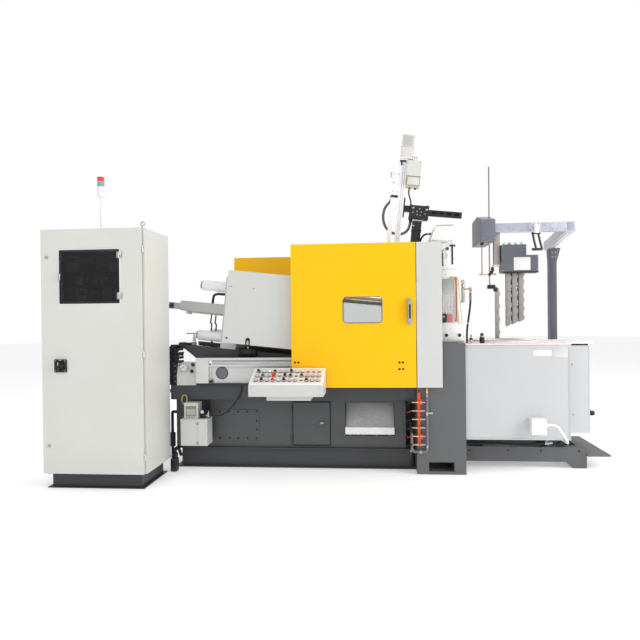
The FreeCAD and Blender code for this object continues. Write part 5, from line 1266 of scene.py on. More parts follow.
@dataclass
class Console:
    """The operator's desk with its controls in three rows, on its own slope."""

    rows: tuple[str, ...] = ("osortsoofkoo", "ogoXfskfkooo", "stwkoosttfff")
    first_x: float = 46
    first_y: float = 62
    pitch: float = 43
    row_pitch: float = 62
    knob_turn: float = 38
    front: float = -770
    back: float = -520
    low: float = 738
    high: float = 845

    def build(self) -> None:
        """Build the controls, the line round them and the label strips."""
        lowest, highest = cad("console")
        angle = math.atan((self.high - self.low) / (self.back - self.front))
        place = Matrix.Translation((lowest.x, self.front, self.low)) @ Matrix.Rotation(angle, 4, "X")
        run = 1 / math.cos(angle)
        piece = Shape("console_buttons", place)
        for r, row in enumerate(self.rows):
            for c, kind in enumerate(row):
                at = (self.first_x + c * self.pitch, (self.first_y + r * self.row_pitch) * run, 0)
                self.control(piece, Control(kind), at)
        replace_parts(piece.done(), "console_controls")
        line = Shape("console_outline", place)
        wide = highest.x - lowest.x
        deep = (self.back - self.front) * run
        line.block((1, 3, -1), (wide - 1, deep - 1, 0.3), FRESH_WHITE, 0.3)
        line.block((24, 36, -1), (wide - 24, deep - 24, 0.5), DESK_FIELD, 0.2)
        line.block((wide - 150, 44, -1), (wide - 40, deep - 32, 0.6), DESK_WARM, 0.2)
        x0, x1, y0, y1 = 22, wide - 22, 34, deep - 22
        for low, high in (((x0, y0), (x1, y0 + 2)), ((x0, y1 - 2), (x1, y1)), ((x0, y0), (x0 + 2, y1)),
                ((x1 - 2, y0), (x1, y1))):
            line.block((*low, -0.5), (*high, 0.8), ORANGE, 0.3)
        for r in range(3):
            for c in range(12):
                x, y = self.first_x + c * self.pitch, (self.first_y + r * self.row_pitch) * run
                line.block((x - 13, y + 17, -0.5), (x + 13, y + 23, 0.9), LABEL, 0.3)
        line.done()
        under = Shape("console_under")
        under.block((lowest.x + 150, self.front + 70, 628), (lowest.x + 310, self.front + 74, 646), DARK_STEEL, 1)
        for i in range(3):
            under.rod((lowest.x + 170 + 60 * i, self.front + 78, 640), DOWN, 10, 24, PLASTIC, 2, 6)
        under.screws((lowest.x + 24, highest.x - 24), (self.front,), (672, 718), FRONT, 4)
        under.done()

    def control(self, piece: Shape, kind: Control, at: tuple) -> None:
        """Add one control.

        Args:
            piece: The piece that it joins.
            kind: What it is.
            at: Its foot on the slope.
        """
        x, y, _ = at
        if kind is Control.FLAT:
            piece.block((x - 11, y - 8, -0.5), (x + 11, y + 8, 6), FADED_BROWN, 1.5)
            return
        piece.ring(at, UP, 16.5, 11.5, 9, GREY_PLASTIC)
        piece.ring((x, y, 8), UP, 16, 11.5, 3, BEZEL)
        if kind is Control.SELECTOR:
            piece.rod(at, UP, 12, 15, PLASTIC, 2)
            turn = Matrix.Translation(at) @ Matrix.Rotation(math.radians(self.knob_turn), 4, "Z")
            piece.block((-6, -13, 12), (6, 13, 29), PLASTIC, 3, turn)
            piece.block((-0.8, 1, 28.5), (0.8, 10, 29.4), PALE_PLASTIC, 0.3, turn)
        elif kind is Control.STOP:
            piece.ring(at, UP, 21, 12, 3, YELLOW, 32)
            piece.rod(at, UP, 10, 20, PLASTIC)
            piece.turned((x, y, 15), UP, [(0, 0), (0, 14), (3, 18.5), (8, 18.5), (12, 15), (13, 9), (13, 0)], RED, 32)
        elif kind in (Control.TEAL_LAMP, Control.WHITE_LAMP):
            lens = CYAN if kind is Control.TEAL_LAMP else WHITE_LENS
            piece.turned(at, UP, [(0, 0), (0, 13), (14, 12.5), (20, 9), (23, 0)], lens)
        elif kind is Control.RING:
            piece.turned(at, UP, [(0, 0), (0, 11.8), (15, 11.8), (18, 9), (16.5, 7), (16.5, 0)], BUTTON_CAP)
        else:
            cap = {Control.BUTTON: PLASTIC, Control.RED_BUTTON: RED, Control.GREEN_BUTTON: GREEN}[kind]
            piece.turned(at, UP, [(0, 0), (0, 12), (17, 12), (21, 10), (20, 7), (20, 0)], cap)


@dataclass
class OilAndGauge:
    """The pressure gauge, the lubricator and the valve stack."""

    lean: float = 68
    dial_radius: float = 33
    dial_across: float = 0.36
    gauge_front: float = -420
    gauge_shelf: float = -380
    knee: float = 786
    case: tuple[float, ...] = (-2075.0, -1856.0, -500.0, 432.0)
    pump: tuple[float, ...] = (-2051.0, -1937.0, -480.0, 562.0)

    def build(self) -> None:
        """Build the gauge, the lubricator and the valves."""
        self.gauge()
        self.lubricator()
        self.valves()

    def gauge(self) -> None:
        """Build the dial's bezel, face and needle, and the two knobs."""
        low, high = cad("gauge_panel")
        tilt = Matrix.Rotation(math.radians(self.lean), 4, "X")
        wide = high.x - low.x

        def slope(across: float, rise: float) -> Vector:
            return Vector((low.x + across * wide, self.gauge_front + rise * (self.gauge_shelf - self.gauge_front),
                self.knee + rise * (high.z - self.knee)))

        place = Matrix.Translation(slope(self.dial_across, 0.5)) @ tilt
        piece = Shape("pressure_dial", place)
        r = self.dial_radius
        piece.ring((0, 0, 18), UP, r + 1.5, r - 5, 9, SCREW, 40)
        piece.rod((0, 0, 20), UP, r - 4, 4.5, LABEL, 0.5, 40)
        for i in range(25):
            angle = math.radians(225 - i * 270 / 24)
            long = 6 if i % 4 == 0 else 3.5
            mark = Matrix.Rotation(angle, 4, "Z")
            piece.block((r - 6.5 - long, -0.45, 24.2), (r - 7, 0.45, 24.9), BLACK, 0.1, mark)
        piece.block((-6, -1, 25), (20, 1, 25.8), BLACK, 0.3, Matrix.Rotation(math.radians(205), 4, "Z"))
        piece.rod((0, 0, 24.5), UP, 3.4, 2.4, BLACK, 0.6)
        piece.done()
        for name, across, rise in (("upper", 0.8, 0.76), ("lower", 0.78, 0.24)):
            knob = Shape("gauge_knob_" + name, Matrix.Translation(slope(across, rise)) @ tilt)
            knob.turned((0, 0, -1), UP, [(0, 0), (0, 14), (3, 14), (5, 12), (20, 12.5), (23, 10), (23, 0)], PLASTIC)
            knob.done()
        case = Shape("gauge_case_screws")
        case.screws((low.x + 10, high.x - 10), (self.gauge_front,), (low.z + 12, low.z + 70), FRONT, 3.5)
        case.done()

    def lubricator(self) -> None:
        """Build the lubricator's face, gauge, tees, latches and cap."""
        piece = Shape("lubricator_details")
        piece.block((-1936, -501, 252), (-1934, -499, 390), SEAM, 0.4)
        piece.block((-1914, -290, 470), (-1898, -268, 579), BLACK, 3)
        left, right, front, top = self.case
        pump_left, pump_right, pump_front, pump_top = self.pump
        piece.block((left - 1.5, front - 1.5, top - 16), (right + 1.5, -349, top + 1.5), GUARD, 2)
        for z in (400, 242):
            piece.block((-1942, front - 7, z - 10), (-1928, front - 0.5, z + 10), OLIVE, 2)
            piece.rod((-1935, front - 8, z), BACK, 4, 4, BRASS)
        piece.block((pump_left + 14, pump_front - 3, 456), (pump_right - 14, pump_front + 1, 536), FACE, 2)
        piece.block((pump_left + 20, pump_front - 4, 518), (pump_right - 20, pump_front - 2, 532), OLIVE, 0.5)
        for i in range(3):
            z = 505 - i * 15
            piece.block((pump_left + 20, pump_front - 3.8, z - 4), (pump_right - 20, pump_front - 2, z + 4), GUARD,
                0.5)
        for i in range(4):
            x = pump_left + 26 + i * 20
            piece.rod((x, pump_front - 2, 447), FRONT, 4.5, 4, RED if i == 2 else PLASTIC)
        piece.block((pump_left - 1, pump_front - 1, pump_top - 8), (pump_right + 1, -369, pump_top + 1), GUARD, 2)
        piece.rod((-1909, -430, 428), UP, 20, 40, PLASTIC, 3)
        piece.turned((-1909, -430, 466), UP, [(0, 0), (0, 17), (4, 19), (20, 19), (26, 14), (26, 0)], PLASTIC)
        piece.rod((-1909, -451, 486), FRONT, 15, 9, SCREW, 2)
        piece.rod((-1909, -460, 486), FRONT, 12, 1.4, LABEL, 0.3)
        piece.rod((-1889, -430, 454), RIGHT, 6, 26, BRASS, 1)
        piece.block((-1871, -440, 436), (-1856, -420, 474), SCREW, 4)
        piece.rod((-1863, -430, 474), UP, 5, 18, BRASS, 1, 6)
        piece.pipe(route([(-2042, -425, 561), (-2042, -425, 610), (-2066, -425, 625), (-2088, -425, 598),
            (-2086, -420, 560), (-2078, -390, 530)], 5), 5, HOSE_AMBER)
        piece.rod((-2042, -425, 556), UP, 8, 14, BRASS, 1, 6)
        piece.done()

    def valves(self) -> None:
        """Build the valves' coils, plugs and hoses on their blocks."""
        low, high = cad("valve_stack")
        piece = Shape("valve_details")
        face = low.y + 10
        for i in range(4):
            z = low.z + 30 + i * 42
            piece.rod((low.x + 52, face + 2, z), FRONT, 15, 34, PLASTIC, 3, 20)
            piece.rod((low.x + 52, face - 32, z), FRONT, 8, 7, DARK_STEEL, 1, 6)
            piece.block((low.x + 78, face - 22, z - 15), (low.x + 116, face + 4, z + 13), BLACK, 5)
            piece.screw((low.x + 97, face - 22, z), FRONT, 4)
        for i in range(3):
            z = low.z + 206 + i * 40
            piece.block((low.x + 44, face - 6, z - 15), (low.x + 118, face + 30, z + 15), DARK_STEEL, 4)
            piece.rod((low.x + 60, face - 6, z), FRONT, 11, 22, PLASTIC, 3)
            piece.rod((low.x + 100, face - 6, z), FRONT, 9, 14, DARK_STEEL, 2, 6)
        for i in range(3):
            piece.pipe(route([(low.x + 58 + 22 * i, face + 12, high.z - 4), (low.x + 58 + 22 * i, face + 8,
                high.z + 6), (low.x + 66 + 22 * i, face + 4, high.z + 9), (low.x + 90 + 18 * i, face + 20,
                high.z + 8), (low.x + 112 + 10 * i, face + 34, high.z - 30)], 5), 7, RUBBER)
        for i, reach in enumerate((4, 12, 6, 14, 3)):
            z = high.z - 22 - 34 * i
            piece.rod((high.x - 4, face + 18 + 9 * (i % 3), z), RIGHT, 13 - 2 * (i % 2), reach, PLASTIC, 3, 16)
            piece.block((high.x - 30, face - 12, z - 12), (high.x + 3, face + 40, z + 9), BLACK, 5)
        piece.done()


@dataclass
class Water:
    """The cooling water distributor's taps, hose tails and pipe fittings."""

    taps: int = 6
    first: float = 243
    pitch: float = 66
    axis_y: float = -489
    bar_x: float = -175
    pipe: tuple[float, ...] = (-112.0, -470.0, -231.0, 183.0)

    def build(self) -> None:
        """Build the taps and the pipe's fittings."""
        low, high = cad("water_taps")
        piece = Shape("water_taps_brass")
        for i in range(self.taps):
            z = self.first + i * self.pitch
            y = self.axis_y
            piece.rod((self.bar_x - 13, y, z), RIGHT, 9, 26, BRASS, 2, 6)
            piece.turned((self.bar_x - 13, y, z), LEFT, [(0, 0), (0, 8), (12, 8), (12, 6), (22, 7.4), (22, 6),
                (31, 7.2), (31, 5.6), (42, 6), (42, 0)], BRASS)
            piece.rod((self.bar_x + 13, y, z), RIGHT, 7.5, 12, SCREW, 1, 6)
            piece.rod((self.bar_x + 25, y, z), RIGHT, 7, high.x - self.bar_x - 25, SCREW, 1.5)
            piece.rod((self.bar_x, y - 6, z), FRONT, 5, 12, BRASS, 1)
            piece.block((self.bar_x - 4, y - 24, z - 13), (self.bar_x + 4, y - 17, z + 13), RED, 3)
        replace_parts(piece.done(), "water_taps")
        hoses = Shape("water_hose_tails")
        for i in range(self.taps):
            z = self.first + i * self.pitch
            x = low.x
            amber = HOSE_ORANGE if i % 3 == 1 else RUBBER
            hoses.pipe(route([(x + 14, self.axis_y, z), (x - 6, self.axis_y, z), (x - 20, self.axis_y + 24, z - 12),
                (x - 24, -390, z - 34), (x - 30, -320, z - 40), (x - 34, -262, z - 30)], 6),
                6.0 if amber is RUBBER else 4.5, amber)
        hoses.done()
        bracket = Shape("water_bar_brackets")
        for z in (276, 547):
            bracket.block((-191, -459.5, z - 2), (-143, -444, z + 48), BED, 3)
        bracket.done()
        x, y, left, base = self.pipe
        pipe = Shape("water_pipe")
        pipe.pipe(route([(x, y, 688), (x, y, base + 60), (x, y, base + 14), (x - 14, y, base), (x - 50, y, base),
            (left + 14, y, base), (left, y, base + 14), (left, y, base + 90), (left, y, base + 126),
            (left, y + 12, base + 142), (left, -300, base + 180), (left, -256, base + 188)], 6), 11.5, GREY_STEEL, 16)
        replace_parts(pipe.done(), "water_line")
        fit = Shape("water_pipe_fittings")
        fit.rod((x, y, 640), UP, 14, 40, BRASS, 2, 6)
        fit.rod((x, y, 616), UP, 13, 22, SCREW, 1, 6)
        fit.rod((x, y, 470), UP, 15, 30, SCREW, 2, 6)
        fit.rod((x + 6, y, 485), RIGHT, 6, 20, SCREW)
        fit.block((x + 20, y - 4, 478), (x + 44, y + 4, 494), SCREW, 2)
        fit.rod((x, y, 214), UP, 14.5, 24, SCREW, 2, 6)
        fit.rod((x - 62, y, 183), RIGHT, 14, 20, SCREW, 2, 6)
        fit.done()


@dataclass
class Injection:
    """The injection side's cover, ribbed sheet, base block, copper pipe and inlet valve."""

    face: float = -300
    pipe_x: float = 146
    pipe_y: float = -308.3
    pipe_top: float = 1546
    pipe_foot: float = 1196
    valve_x: float = 199
    valve_y: float = -282
    valve_low: float = 1347
    valve_high: float = 1531

    def build(self) -> None:
        """Build the injection side's details."""
        self.cover()
        self.ribbed_sheet()
        self.base_block()
        self.pipes()
        self.hood()

    def cover(self) -> None:
        """Build the rounded cover over the cylinder, its strip, ring and cable."""
        f = self.face
        piece = Shape("injection_side_cover")
        piece.block((16, f - 12, 1618), (150, f + 2, 1806), LIGHTENED_WHITE, 9)
        piece.block((18, f - 20, 1634), (96, f - 10, 1792), PALE_PLASTIC, 6)
        piece.block((106, f - 17, 1652), (119, f - 10, 1808), PLASTIC, 2)
        piece.block((92, f - 24, 1798), (136, f - 8, 1812), BLACK, 3)
        piece.ring((72, f - 20, 1779), FRONT, 15, 7, 8, BLUE, 28)
        piece.rod((72, f - 20, 1779), FRONT, 7, 5, PLASTIC)
        piece.rod((36, f - 20, 1764), FRONT, 11, 10, SCREW, 2, 6)
        piece.rod((40, f - 22, 1726), UP, 9, 36, SCREW, 2)
        piece.pipe(route([(40, f - 24, 1728), (46, f - 27, 1700), (78, f - 27, 1706), (74, f - 27, 1738),
            (60, f - 26, 1752)], 4), 4, PALE_PLASTIC)
        piece.pipe(route([(30, f - 24, 1742), (34, f - 26, 1690), (38, f - 24, 1640)], 5), 4, BLACK)
        piece.rod((22, f - 14, 1806), UP, 6, 26, BLACK)
        for x, z in ((26, 1626), (142, 1626), (142, 1798)):
            piece.screw((x, f - 12, z), FRONT, 4)
        for shift in (0, 24):
            piece.pipe([(158 - shift, f - 1, 1606), (158 - shift, f - 1, 1560), (196 - shift, f - 1, 1070)], 1.6,
                SEAM, 6)
        piece.rod((132, f - 12, 1700), FRONT, 8, 2, LABEL, 0.4)
        piece.done()

    def ribbed_sheet(self) -> None:
        """Build the ribbed metal sheet under the cover and the plain sheet over it."""
        f = self.face
        piece = Shape("injection_side_sheet")
        piece.block((16, f - 6, 1552), (162, f + 1, 1612), LIGHTENED_WHITE, 3)
        piece.screw((60, f - 6, 1556 + 22), FRONT, 4)
        piece.block((16, f - 4, 1420), (128, f + 1, 1540), SHEET, 3)
        piece.block((16, f - 3, 1186), (130, f + 1, 1418), PANEL, 2)
        for i in range(9):
            x = 24 + i * 12.5
            piece.rod((x, f - 2, 1190), UP, 4.4, 224, PANEL, 1, 12)
        for z in (1300, 1404):
            piece.block((16, f - 8, z - 4), (130, f - 3, z + 4), PANEL, 1)
        piece.block((16, f - 15, 1188), (62, f - 3, 1260), BLACK, 3)
        piece.rod((40, f - 15, 1236), FRONT, 9, 5, SCREW, 1, 6)
        piece.block((64, f - 11, 1192), (112, f - 3, 1256), FADED_RED, 2)
        piece.done()

    def base_block(self) -> None:
        """Build the white base block with its two recessed screws and the small bent tube."""
        f = self.face
        piece = Shape("injection_base_block")
        piece.block((14, f - 10, 1042), (194, f + 1, 1172), LIGHTENED_WHITE, 8)
        for x in (61, 164):
            piece.ring((x, f - 10, 1087), FRONT, 17, 13, 3, LIGHTENED_WHITE, 28)
            piece.rod((x, f - 10, 1087), FRONT, 14, 3.4, PLASTIC, 1)
            piece.rod((x, f - 10, 1087), FRONT, 6, 4.4, DARK_STEEL, 1, 6)
        piece.block((12, f - 6, 1026), (206, f + 1, 1040), SHEET, 2)
        piece.pipe(route([(206, f + 8, 1178), (240, f + 4, 1186), (262, f, 1168), (270, f, 1120), (258, f, 1102),
            (256, f, 1086)], 4), 3.4, PALE_PLASTIC)
        piece.rod((256, f, 1022), UP, 9, 26, SCREW, 2)
        piece.rod((256, f, 1048), UP, 13, 14, PLASTIC, 2, 6)
        piece.rod((256, f, 1062), UP, 7, 28, BRASS, 1, 6)
        piece.rod((342, f, 1020), UP, 20, 50, PLASTIC, 4)
        piece.rod((342, f, 1066), UP, 16, 14, SCREW, 2)
        piece.turned((342, f, 1076), UP, [(0, 0), (0, 12), (8, 14), (20, 13), (26, 8), (26, 0)], PLASTIC)
        piece.done()

    def pipes(self) -> None:
        """Build the bent copper pipe and the spring-loaded inlet valve."""
        x, y = self.pipe_x, self.pipe_y
        piece = Shape("injection_pipework")
        piece.pipe(route([(x - 44, y, self.pipe_top), (x - 22, y, self.pipe_top), (x - 2, y, self.pipe_top),
            (x, y, self.pipe_top - 4), (x, y, self.pipe_top - 26), (x, y, self.pipe_foot + 120),
            (x, y, self.pipe_foot)], 8), 7.6, COPPER, 14)
        piece.rod((x - 46, y, self.pipe_top), RIGHT, 12, 22, BRASS, 2, 6)
        piece.rod((x, y, self.pipe_foot - 2), UP, 12, 20, BRASS, 2, 6)
        piece.rod((x, y, self.pipe_foot + 20), UP, 10, 12, BRASS, 1)
        vx, vy = self.valve_x, self.valve_y
        piece.rod((vx, vy, self.valve_low + 2), UP, 9, self.valve_high - self.valve_low - 6, SCREW)
        piece.turned((vx, vy, self.valve_high - 26), UP, [(0, 0), (0, 17), (10, 18), (20, 15), (26, 9), (26, 0)],
            COIL)
        turns = 8
        tall = self.valve_high - self.valve_low - 40
        spiral = [Vector((vx + 14 * math.cos(math.tau * i / 14), vy + 14 * math.sin(math.tau * i / 14),
            self.valve_low + 10 + tall * i / (14 * turns))) for i in range(14 * turns + 1)]
        piece.pipe(spiral, 4.6, COIL, 8)
        piece.rod((vx, vy, self.valve_low), UP, 18, 12, SCREW, 3)
        piece.rod((vx, vy - 14, self.valve_high - 70), FRONT, 9, 14, BRASS, 1, 6)
        elbow = self.valve_high - 76
        piece.rod((vx + 10, vy, elbow), RIGHT, 7, 50, SCREW, 1)
        piece.rod((vx + 28, vy, elbow), RIGHT, 10, 14, BRASS, 1, 6)
        piece.rod((vx + 58, vy, self.valve_high - 110), UP, 9.5, 44, BRASS, 2, 6)
        piece.rod((vx + 58, vy, self.valve_high - 66), UP, 7, 8, BRASS, 1)
        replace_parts(piece.done(), "injection_pipes")
        sleeve = Shape("melt_hose_sleeve")
        sleeve.turned((vx + 58, vy, self.valve_high - 112), DOWN, [(0, 0), (0, 11), (4, 11), (6, 9.6), (52, 9.6),
            (54, 9), (54, 0)], GREY_RUBBER)
        sleeve.done()

    def hood(self) -> None:
        """Rim the top cover and add its screws, fitting and hose."""
        low, high = cad("injection_cover")
        piece = Shape("injection_hood_trim")
        piece.block((low.x + 50, low.y - 1, high.z - 10), (high.x + 1, low.y + 4, high.z + 1), SHEET, 1.5)
        piece.block((low.x, low.y - 2, low.z - 1), (high.x + 1, low.y + 4, low.z + 10), LIGHTENED_WHITE, 2)
        piece.screws((low.x + 24, high.x - 20), (low.y - 2,), (low.z + 5,), FRONT, 3.5)
        y, z = low.y + 60, low.z + 62
        piece.rod((low.x + 16, y, z), LEFT, 12, 20, BLUE, 2, 6)
        piece.rod((low.x - 2, y, z), LEFT, 9, 14, SCREW, 1, 6)
        piece.pipe(route([(low.x - 10, y, z), (low.x - 34, y, z), (low.x - 60, y, z - 22),
            (low.x - 78, y + 10, z - 62), (low.x - 84, y + 30, z - 110)], 6), 8, RUBBER)
        piece.screws((high.x,), (low.y + 30, high.y - 30), (low.z + 20, high.z - 20), RIGHT, 4)
        piece.done()


@dataclass
class Furnace:
    """The furnace's plates, rims, terminal box and fittings, and its pot's rim."""

    front: float = -420
    case_right: float = 989
    pot_x: float = 560
    pot_y: float = 10
    pot_rim: float = 270
    pot_hole: float = 168
    burner_front: float = -275
    terminal_box: tuple[float, ...] = (675.0, 783.0, 328.0, 448.0)

    def build(self) -> None:
        """Build the furnace's details."""
        self.plates()
        self.side()
        self.pot()
        self.terminal()
        self.underneath()

    def plates(self) -> None:
        """Fix two blank plates on, and a seam and rim round the casing."""
        low, high = cad("furnace_body")
        f = self.front
        piece = Shape("furnace_plates")
        for left, right, base, top, finish in ((704, 848, 924, 972, LABEL), (852, 969, 913, 989, PLATE)):
            piece.block((left, f - 1.6, base), (right, f + 1, top), finish, 0.8)
            for x in (left + 5, right - 5):
                for z in (base + 5, top - 5):
                    piece.rod((x, f - 1.6, z), FRONT, 2, 1, SCREW, 0.4, 10)
        for x in (972, 981):
            piece.block((x, f - 1, low.z + 12), (x + 2.5, f + 1, high.z - 12), SEAM, 0.5)
        piece.block((low.x + 2, f - 3, high.z - 22), (self.case_right + 1, f + 1, high.z - 4), WHITE, 2)
        piece.block((low.x + 2, f - 2, low.z), (self.case_right + 1, f + 1, low.z + 14), SHEET, 1)
        piece.done()

    def side(self) -> None:
        """Build the burner box's screws, seam, knob, switch and back screws."""
        low, high = cad("furnace_body")
        piece = Shape("furnace_side")
        f = self.burner_front
        for x, z in ((1047, 845), (1057, 448)):
            piece.rod((x, f, z), FRONT, 8, 4, SCREW, 1.5)
            piece.screw((x, f - 4, z), FRONT, 5)
        piece.block((1034, f - 1.5, 990), (1181, f + 2, 998), SHEET, 1)
        piece.block((1172, f - 1, 306), (1174, f + 1, 992), SEAM, 0.4)
        piece.screws((self.case_right,), (low.y + 60, high.y - 60), (low.z + 60, high.z - 60), RIGHT, 6)
        piece.screws(spread(low.x + 60, low.x + 740, 5), (high.y,), (low.z + 40, high.z - 40), BACK, 7)
        piece.rod((1179, -75, 428), RIGHT, 9.5, 72, BLACK, 1)
        piece.turned((1245, -75, 428), RIGHT, [(0, 0), (0, 12), (6, 18), (14, 21.5), (26, 21.5), (34, 18), (40, 11),
            (42, 0)], PLASTIC)
        piece.block((1179, -214, 404), (1196, -150, 486), BLACK, 5)
        piece.rod((1196, -182, 466), RIGHT, 14, 18, PLASTIC, 4)
        piece.rod((1196, -182, 424), RIGHT, 11, 14, PLASTIC, 3)
        piece.done()

    def pot(self) -> None:
        """Lay the pale insulating ring and its sealing rope over the pot's flange, and rim the lid."""
        low, high = cad("melting_pot")
        piece = Shape("pot_cover_ring")
        at = (self.pot_x, self.pot_y, high.z - 14)
        piece.turned(at, UP, [(0, self.pot_hole), (0, self.pot_rim + 3), (8, self.pot_rim + 3),
            (17, self.pot_rim - 6), (19, self.pot_rim - 30), (19, self.pot_hole + 12), (16, self.pot_hole),
            (0, self.pot_hole)], BOARD, 72)
        piece.done()
        rope = Shape("pot_sealing_rope")
        count = 90
        ring = [Vector((self.pot_x + (self.pot_rim + 3) * math.cos(math.tau * i / count),
            self.pot_y + (self.pot_rim + 3) * math.sin(math.tau * i / count),
            1024 + 0.9 * math.sin(i * 2.1))) for i in range(count)]
        rope.pipe(ring, 5, BOARD, 8, True)
        rope.done()
        lid = Shape("lid_rim")
        low, high = cad("furnace_lid")
        lid.block((low.x + 1, low.y - 2, low.z + 1), (high.x + 1, low.y + 4, high.z - 1), BOARD, 2)
        lid.screws(spread(low.x + 40, low.x + 752, 5), (low.y + 22, high.y - 22), (high.z,), UP, 7)
        lid.block((1000, -292, 1011), (1198, 306, 1022), BOARD, 3)
        lid.block((1040, -266, 996), (1172, 292, 1011), BLACK, 2)
        lid.done()

    def terminal(self) -> None:
        """Build the terminal box's lid, screws and gland."""
        piece = Shape("terminal_box_lid")
        left, right, base, top = self.terminal_box
        y = self.front - 78
        piece.block((left - 1, y - 3, base - 1), (right + 1, y + 14, top + 1), PALE_PLASTIC, 4)
        for x in (left + 12, right - 12):
            for z in (base + 12, top - 12):
                piece.rod((x, y - 3, z), FRONT, 5, 1.4, PALE_PLASTIC, 0.5)
        piece.rod((right, y + 38, 397), RIGHT, 15, 14, PALE_PLASTIC, 2, 6)
        piece.rod((right + 14, y + 38, 397), RIGHT, 12, 12, PALE_PLASTIC, 3)
        piece.done()

    def underneath(self) -> None:
        """Build the gas cocks and pipes between furnace and trolley, and the foot bolts."""
        low, _ = cad("furnace_trolley")
        piece = Shape("trolley_fittings")
        for x, finish in ((880, SCREW), (985, DARK_STEEL)):
            piece.rod((x - 34, -212, 208), RIGHT, 15, 34, finish, 3, 6)
            piece.rod((x, -212, 208), RIGHT, 11, 26, finish, 2)
            piece.rod((x - 16, -212, 220), UP, 6, 18, finish, 1)
            piece.block((x - 34, -216, 236), (x + 6, -208, 241), finish, 2)
        piece.pipe(route([(846, -212, 208), (760, -212, 200), (640, -205, 188), (520, -200, 196), (380, -196, 200),
            (240, -192, 196)], 10), 9, RUBBER)
        piece.pipe(route([(906, -212, 208), (920, -211, 200), (936, -212, 202), (951, -212, 208)], 8), 8, RUBBER)
        piece.block((930, -206, 174), (1010, -196, 196), DARK_STEEL, 3)
        piece.screws((250, 560, 820, 1120), (low.y,), (140,), FRONT, 7, DARK_STEEL)
        piece.done()


